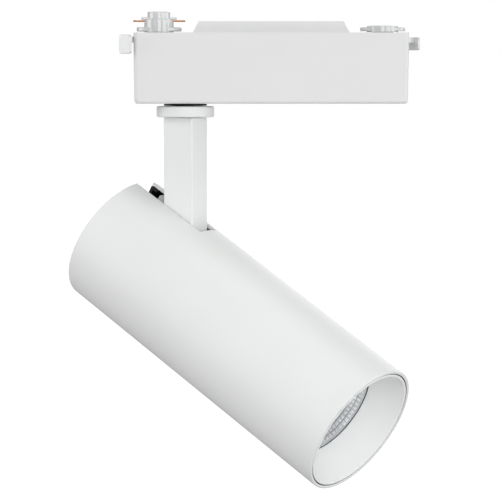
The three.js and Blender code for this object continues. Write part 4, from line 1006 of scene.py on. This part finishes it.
bush_low, bush_high = span("neck_bush", ARM)
box_low, box_high = span("driver_housing", BOX)
BUSH_NECK = 7.7
bush_outline = rounded(
    [
        (NIPPLE_HOLE, bush_low.z, 0.1), (bush_high.y, bush_low.z, 0.3), (bush_high.y, box_low.z - GAP, 0.3),
        (BUSH_NECK, box_low.z - GAP, 0.1), (BUSH_NECK, bush_high.z, 0.3), (NIPPLE_HOLE, bush_high.z, 0.1),
    ],
    4,
)
keep(lathe("bush_ring", bush_outline, 128), ARM, "swivel", BLACK, ["neck_bush"])

# %% Arm
arm_low, arm_high = span("swivel_arm", ARM)
PIVOT = joints["head_tilt"]["pos_m"][2] / MM
ARM_WALL, ARM_PLUG, ARM_EDGE = 3, 12, 0.9
column_plan = rectangle(arm_low.x, arm_high.x, arm_low.y, arm_high.y, ARM_EDGE)
column = prism("arm_tube", column_plan, PIVOT, arm_high.z, 0.3)
eye = turned_to(prism("eye", circle(arm_high.x, 144), arm_low.y, arm_high.y, ARM_EDGE), UPRIGHT)
eye.data.transform(Matrix.Translation((0, 0, PIVOT)))
arm = join(column, eye)
inner_x, inner_y = arm_high.x - ARM_WALL, arm_high.y - ARM_WALL
plug_foot = arm_high.z - ARM_PLUG
wireway = prism("wireway", rectangle(-inner_x, inner_x, -inner_y, inner_y, 0.8), PIVOT - inner_x, plug_foot)
nipple_hole = prism("nipple_hole", circle(NIPPLE_HOLE), plug_foot - 1, arm_high.z + 1)
end_hole = prism("end_hole", rectangle(-3, 3, -3, 3, 0.8), PIVOT - 2 * arm_high.x, PIVOT)
pin_hole = turned_to(prism("pin_hole", circle(PIN_HOLE, 48), -20, 20), UPRIGHT)
pin_hole.data.transform(Matrix.Translation((0, 0, PIVOT)))
cut(arm, wireway, nipple_hole, end_hole, pin_hole)
keep(arm, ARM, "swivel", POWDER, ["swivel_arm"])

# %% Hardware inside the swivel


def swivel_ring(name, node, hole, finish):
    """A flat ring about the swivel's axis, as wide and thick as its CAD node."""
    low, high = span(node, ARM)
    edge = min(high.z - low.z, high.y - hole) * 0.2
    outline = rectangle(hole, high.y, low.z, high.z, edge, 3)
    keep(lathe(name, outline, 96), ARM, "swivel", finish, [node])


swivel_ring("wave_ring", "wave_washer", NIPPLE_HOLE, STEEL)
NIPPLE_BORE = 3.6
swivel_ring("hollow_nipple", "threaded_nipple", NIPPLE_BORE, STEEL)
stop_ring = bevelled(from_cad("stop_ring", "stop_washer", ARM), 0.15)
keep(stop_ring, ARM, "swivel", STEEL, ["stop_washer"])
nut_low, nut_high = span("swivel_nut", ARM)
nut = prism("nipple_nut", circle(nut_high.x, 6), nut_low.z, nut_high.z, 0.6)
cut(nut, prism("hole", circle(NIPPLE_HOLE, 64), nut_low.z - 1, nut_high.z + 1))
keep(nut, ARM, "swivel", STEEL, ["swivel_nut"])
sleeve_low, sleeve_high = span("pivot_sleeve", ARM)
sleeve_outline = rectangle(PIN_HOLE, sleeve_high.x, sleeve_low.y, sleeve_high.y, 0.2, 3)
sleeve = turned_to(lathe("spacer_sleeve", sleeve_outline, 64), UPRIGHT)
sleeve.data.transform(Matrix.Translation((0, 0, PIVOT)))
keep(sleeve, ARM, "swivel", STEEL, ["pivot_sleeve"])

# %% [markdown]
# ## Driver box
# A moulded box leaves its tool only if its walls lean a little, so the real one narrows by about a
# millimetre towards the bottom, and its bottom edges are well rounded. The inside of the CAD model is
# right, so a copy of it is cut to a leaning, rounded block by a boolean.

# %% Box
BOX_DRAFT = 0.55  # at each end and side, from top to bottom
DRAFT_START = 0.02  # share of the height above which the walls keep one width
BOX_CORNER = 2.2
BOTTOM_ROUND = 1.7
envelope_plan = rectangle(box_low.x, box_high.x, box_low.y, box_high.y, BOX_CORNER)
envelope = prism("envelope", envelope_plan, box_low.z, box_high.z + 4, BOTTOM_ROUND, 6)
for vertex in envelope.data.vertices:
    depth = (box_high.z - vertex.co.z) / (box_high.z - box_low.z)
    vertex.co.x *= 1 - max(depth, DRAFT_START) * BOX_DRAFT / box_high.x
    vertex.co.y *= 1 - max(depth, DRAFT_START) * BOX_DRAFT / box_high.y
housing = boolean(from_cad("box_shell", "driver_housing", BOX), "INTERSECT", [envelope])
keep(housing, BOX, "driver_box", SATIN, ["driver_housing"])

# %% Lid with its key
lid = bevelled(from_cad("box_lid", "driver_lid", BOX), 0.45)
keep(lid, BOX, "driver_box", SATIN, ["driver_lid"])

# %% Screws of the box
lid_low, lid_high = span("lid_screw_1", BOX)
lid_x, lid_y = (lid_low.x + lid_high.x) / 2, (lid_low.y + lid_high.y) / 2
lid_places = [(sx * abs(lid_x), sy * abs(lid_y), lid_high.z - 1.2) for sx in (-1, 1) for sy in (-1, 1)]
screws(
    "lid_screws", BOX, "driver_box", lid_places, (2.3, 1.1, 1.2, 1.1, 6.8, 0.9), 0,
    ["lid_screw_1", "lid_screw_2", "lid_screw_3", "lid_screw_4"],
)
board_places = []
for node in ("board_screw_1", "board_screw_2"):
    low, high = span(node, BOX)
    board_places.append(((low.x + high.x) / 2, (low.y + high.y) / 2, high.z - 1.5))
screws(
    "board_screws", BOX, "driver_box", board_places, (2.4, 2.4, 1.5, 1.1, 5.0, 1.1), 0,
    ["board_screw_1", "board_screw_2"],
)

# %% [markdown]
# ## Contact head and track lock
# Each end of the box carries a moulded rotor with two oval wings that turn under the lips of the track.
# The contact head also carries two copper tongues under a cap. Finger levers beside the box turn them.
# They are small glossy mouldings, so every rim is rounded: a sharp edge would look like paper.

# %% Sizes that both rotors share
STEM_RADIUS, STEM_FLAT, CLIP_GROOVE = 6, 5, 0.8
WING_LENGTH, WING_WIDTH, WING_THICKNESS, WING_LIFT = 24.6, 14.4, 2.3, 0.7
BOX_TOP = box_high.z
LID_THICKNESS, LEVER_THICKNESS = 2, 3.2
LEVER_TOP = BOX_TOP - LID_THICKNESS - GAP
LEVER_FOOT = LEVER_TOP - LEVER_THICKNESS
CLIP_TOP = LEVER_FOOT - GAP
GROOVE_FOOT, GROOVE_TOP = CLIP_TOP - 0.95, CLIP_TOP + GAP / 2


def oval(length, width, sides=96):
    return [(x * length / 2, y * width / 2) for x, y in circle(1, sides)]


def rotor(name, radius, top, foot):
    """A turned body with two wings, on a stem with flats for its lever and a groove for its clip."""
    body_corners = [(0, BOX_TOP + GAP, 0), (radius, BOX_TOP + GAP, 0.2), (radius, top, 0.5), (0, top, 0)]
    body = lathe(name, rounded(body_corners, 6), 144)
    wing_foot = BOX_TOP + WING_LIFT
    wings = prism("wings", oval(WING_LENGTH, WING_WIDTH), wing_foot, wing_foot + WING_THICKNESS, 0.6)
    groove_radius = STEM_RADIUS - CLIP_GROOVE
    stem_corners = [
        (0, foot, 0), (STEM_RADIUS, foot, 0.4), (STEM_RADIUS, GROOVE_FOOT, 0.05),
        (groove_radius, GROOVE_FOOT, 0.05), (groove_radius, GROOVE_TOP, 0.05),
        (STEM_RADIUS, GROOVE_TOP, 0.05), (STEM_RADIUS, BOX_TOP + 1, 0), (0, BOX_TOP + 1, 0),
    ]
    stem = lathe("stem", rounded(stem_corners, 3), 96)
    plans = [rectangle(-8, 8, *sorted((side * STEM_FLAT, side * 9))) for side in (-1, 1)]
    flats = [prism("flat", plan, LEVER_FOOT - GAP / 2, LEVER_TOP + GAP / 2) for plan in plans]
    return join(body, wings, cut(stem, *flats))


# %% Contact rotor
rotor_low, rotor_high = span("contact_rotor", CONTACT)
blade_low, blade_high = span("contact_blade_right", CONTACT)
BLADE_HALF, BLADE_THICK, BLADE_LEG = 2.7, 0.8, 3
CONTACT_RADIUS, LOCK_RADIUS = 8.15, 8.6
contact = rotor("contact_body", CONTACT_RADIUS, rotor_high.z, rotor_low.z)
groove_plan = rectangle(-10, 10, -BLADE_HALF - GAP, BLADE_HALF + GAP)
groove = prism("groove", groove_plan, blade_high.z - BLADE_THICK - GAP, rotor_high.z + 1)
leg_half = 2 * BLADE_HALF / 3 + GAP
leg_near, leg_far = BLADE_LEG - GAP, BLADE_LEG + BLADE_THICK + GAP
leg_plans = [rectangle(*sorted((side * leg_near, side * leg_far)), -leg_half, leg_half) for side in (-1, 1)]
cut(contact, groove, *[prism("leg_slot", plan, rotor_low.z - 1, rotor_high.z) for plan in leg_plans])
keep(contact, CONTACT, "contact_head", GLOSS, ["contact_rotor"])


# %% Contact blades
def blade(name, node, side):
    """A copper strip bent down into the rotor, with a round tip."""
    tip, thick, foot = blade_high.x, BLADE_THICK, blade_low.z
    plan = rounded([
        (BLADE_LEG, -BLADE_HALF, 0), (tip, -BLADE_HALF, 1.1),
        (tip, BLADE_HALF, 1.1), (BLADE_LEG, BLADE_HALF, 0),
    ])
    tongue = prism(name, plan, blade_high.z - thick, blade_high.z, 0.12, 2)
    leg_plan = rectangle(BLADE_LEG, BLADE_LEG + thick, -leg_half + GAP, leg_half - GAP, 0.1)
    made = join(tongue, prism("leg", leg_plan, foot, blade_high.z - 0.1, 0.1, 2))
    if side < 0:
        made.data.transform(Matrix.Rotation(math.pi, 4, "Z"))
    return keep(made, CONTACT, "contact_head", COPPER, [node])


blade("blade_right", "contact_blade_right", 1)
blade("blade_left", "contact_blade_left", -1)

# %% Contact cap
cap_low, cap_high = span("contact_cap", CONTACT)
CAP_FOOT_RADIUS, CAP_RADIUS, SHROUD_HEIGHT = 6.9, 6.4, 1.45
shroud_foot = blade_high.z + GAP
foot_top = cap_low.z + 0.7
cap_corners = [
    (0, cap_low.z, 0), (CAP_FOOT_RADIUS, cap_low.z, 0.1), (CAP_FOOT_RADIUS, foot_top, 0.15),
    (CAP_RADIUS, foot_top, 0.05), (CAP_RADIUS, cap_high.z, 0.7), (0, cap_high.z, 0),
]
contact_cap = lathe("cap_body", rounded(cap_corners, 6), 120)
shroud_plan = rectangle(cap_low.x, cap_high.x, -BLADE_HALF, BLADE_HALF, 0.9)
join(contact_cap, prism("shroud", shroud_plan, shroud_foot, shroud_foot + SHROUD_HEIGHT, 0.35))
keep(contact_cap, CONTACT, "contact_head", GLOSS, ["contact_cap"])

# %% Lock rotor
lock_low, lock_high = span("lock_rotor", LOCK)
lock = rotor("lock_body", LOCK_RADIUS, lock_high.z, lock_low.z)
keep(lock, LOCK, "track_lock", GLOSS, ["lock_rotor"])

# %% Levers
LEVER_REACH, LEVER_WIDTH, HUB_RADIUS = 24.95, 3, 8.5
TAB_WIDTH, TAB_THICKNESS, TAB_CORNER = 8.9, 1.6, 1.4


def lever(name, node, local, body, degrees, rise, drop):
    """A hub keyed to the stem, an arm that leaves the box, and a rounded tab for a finger."""
    hub = prism(name, circle(HUB_RADIUS), LEVER_FOOT, LEVER_TOP, 0.3)
    rail_plan = rectangle(4, LEVER_REACH, -LEVER_WIDTH / 2, LEVER_WIDTH / 2, 0.5)
    rail = prism("rail", rail_plan, LEVER_FOOT, LEVER_TOP, 0.4)
    face = rectangle(-TAB_WIDTH / 2, TAB_WIDTH / 2, LEVER_TOP - drop, LEVER_TOP + rise, TAB_CORNER)
    tab = turned_to(prism("tab", face, -TAB_THICKNESS / 2, TAB_THICKNESS / 2, 0.35), UPRIGHT)
    tab.data.transform(Matrix.Translation((LEVER_REACH, 0, 0)) @ Matrix.Rotation(math.pi / 2, 4, "Z"))
    for part in (rail, tab):
        part.data.transform(Matrix.Rotation(math.radians(degrees), 4, "Z"))
    key_half = STEM_FLAT + GAP
    hole = prism("bore", circle(STEM_RADIUS + GAP, 96), LEVER_FOOT - 1, LEVER_TOP + 1)
    key = prism("key", rectangle(-9, 9, -key_half, key_half), LEVER_FOOT - 2, LEVER_TOP + 2)
    made = cut(join(hub, rail, tab), boolean(hole, "INTERSECT", [key]))
    return keep(made, local, body, GLOSS, [node])


lever("contact_finger", "contact_lever", CONTACT, "contact_head", 225, 1.1, 9.1)
lever("lock_finger", "lock_lever", LOCK, "track_lock", 45, 0.1, 7.1)

# %% [markdown]
# ## Electronics and clips
# These sit inside the closed box. Their CAD shapes are right as they are, so they stay and get a real
# finish.

# %% Finishes of the carried-over nodes
finishes = {
    "driver_board": BOARD,
    "input_terminal": TERMINAL,
    "output_terminal": TERMINAL,
    "film_capacitor": TERMINAL,
    "filter_choke": WINDING,
    "transformer_coil": WINDING,
    "transformer_core": FERRITE,
    "bulk_capacitor": SLEEVE,
    "output_capacitor_1": SLEEVE,
    "output_capacitor_2": SLEEVE,
    "contact_clip": STEEL,
    "lock_clip": STEEL,
    "thermal_pad": PAD,
    "led_board": PLATE,
}
for node, finish in finishes.items():
    nodes[node].material_slots[0].material = finish
print("carried over:", sorted(finishes))
left = sorted(name for name, made in nodes.items() if not made.hide_render and name not in finishes)
print("without a finish:", left)
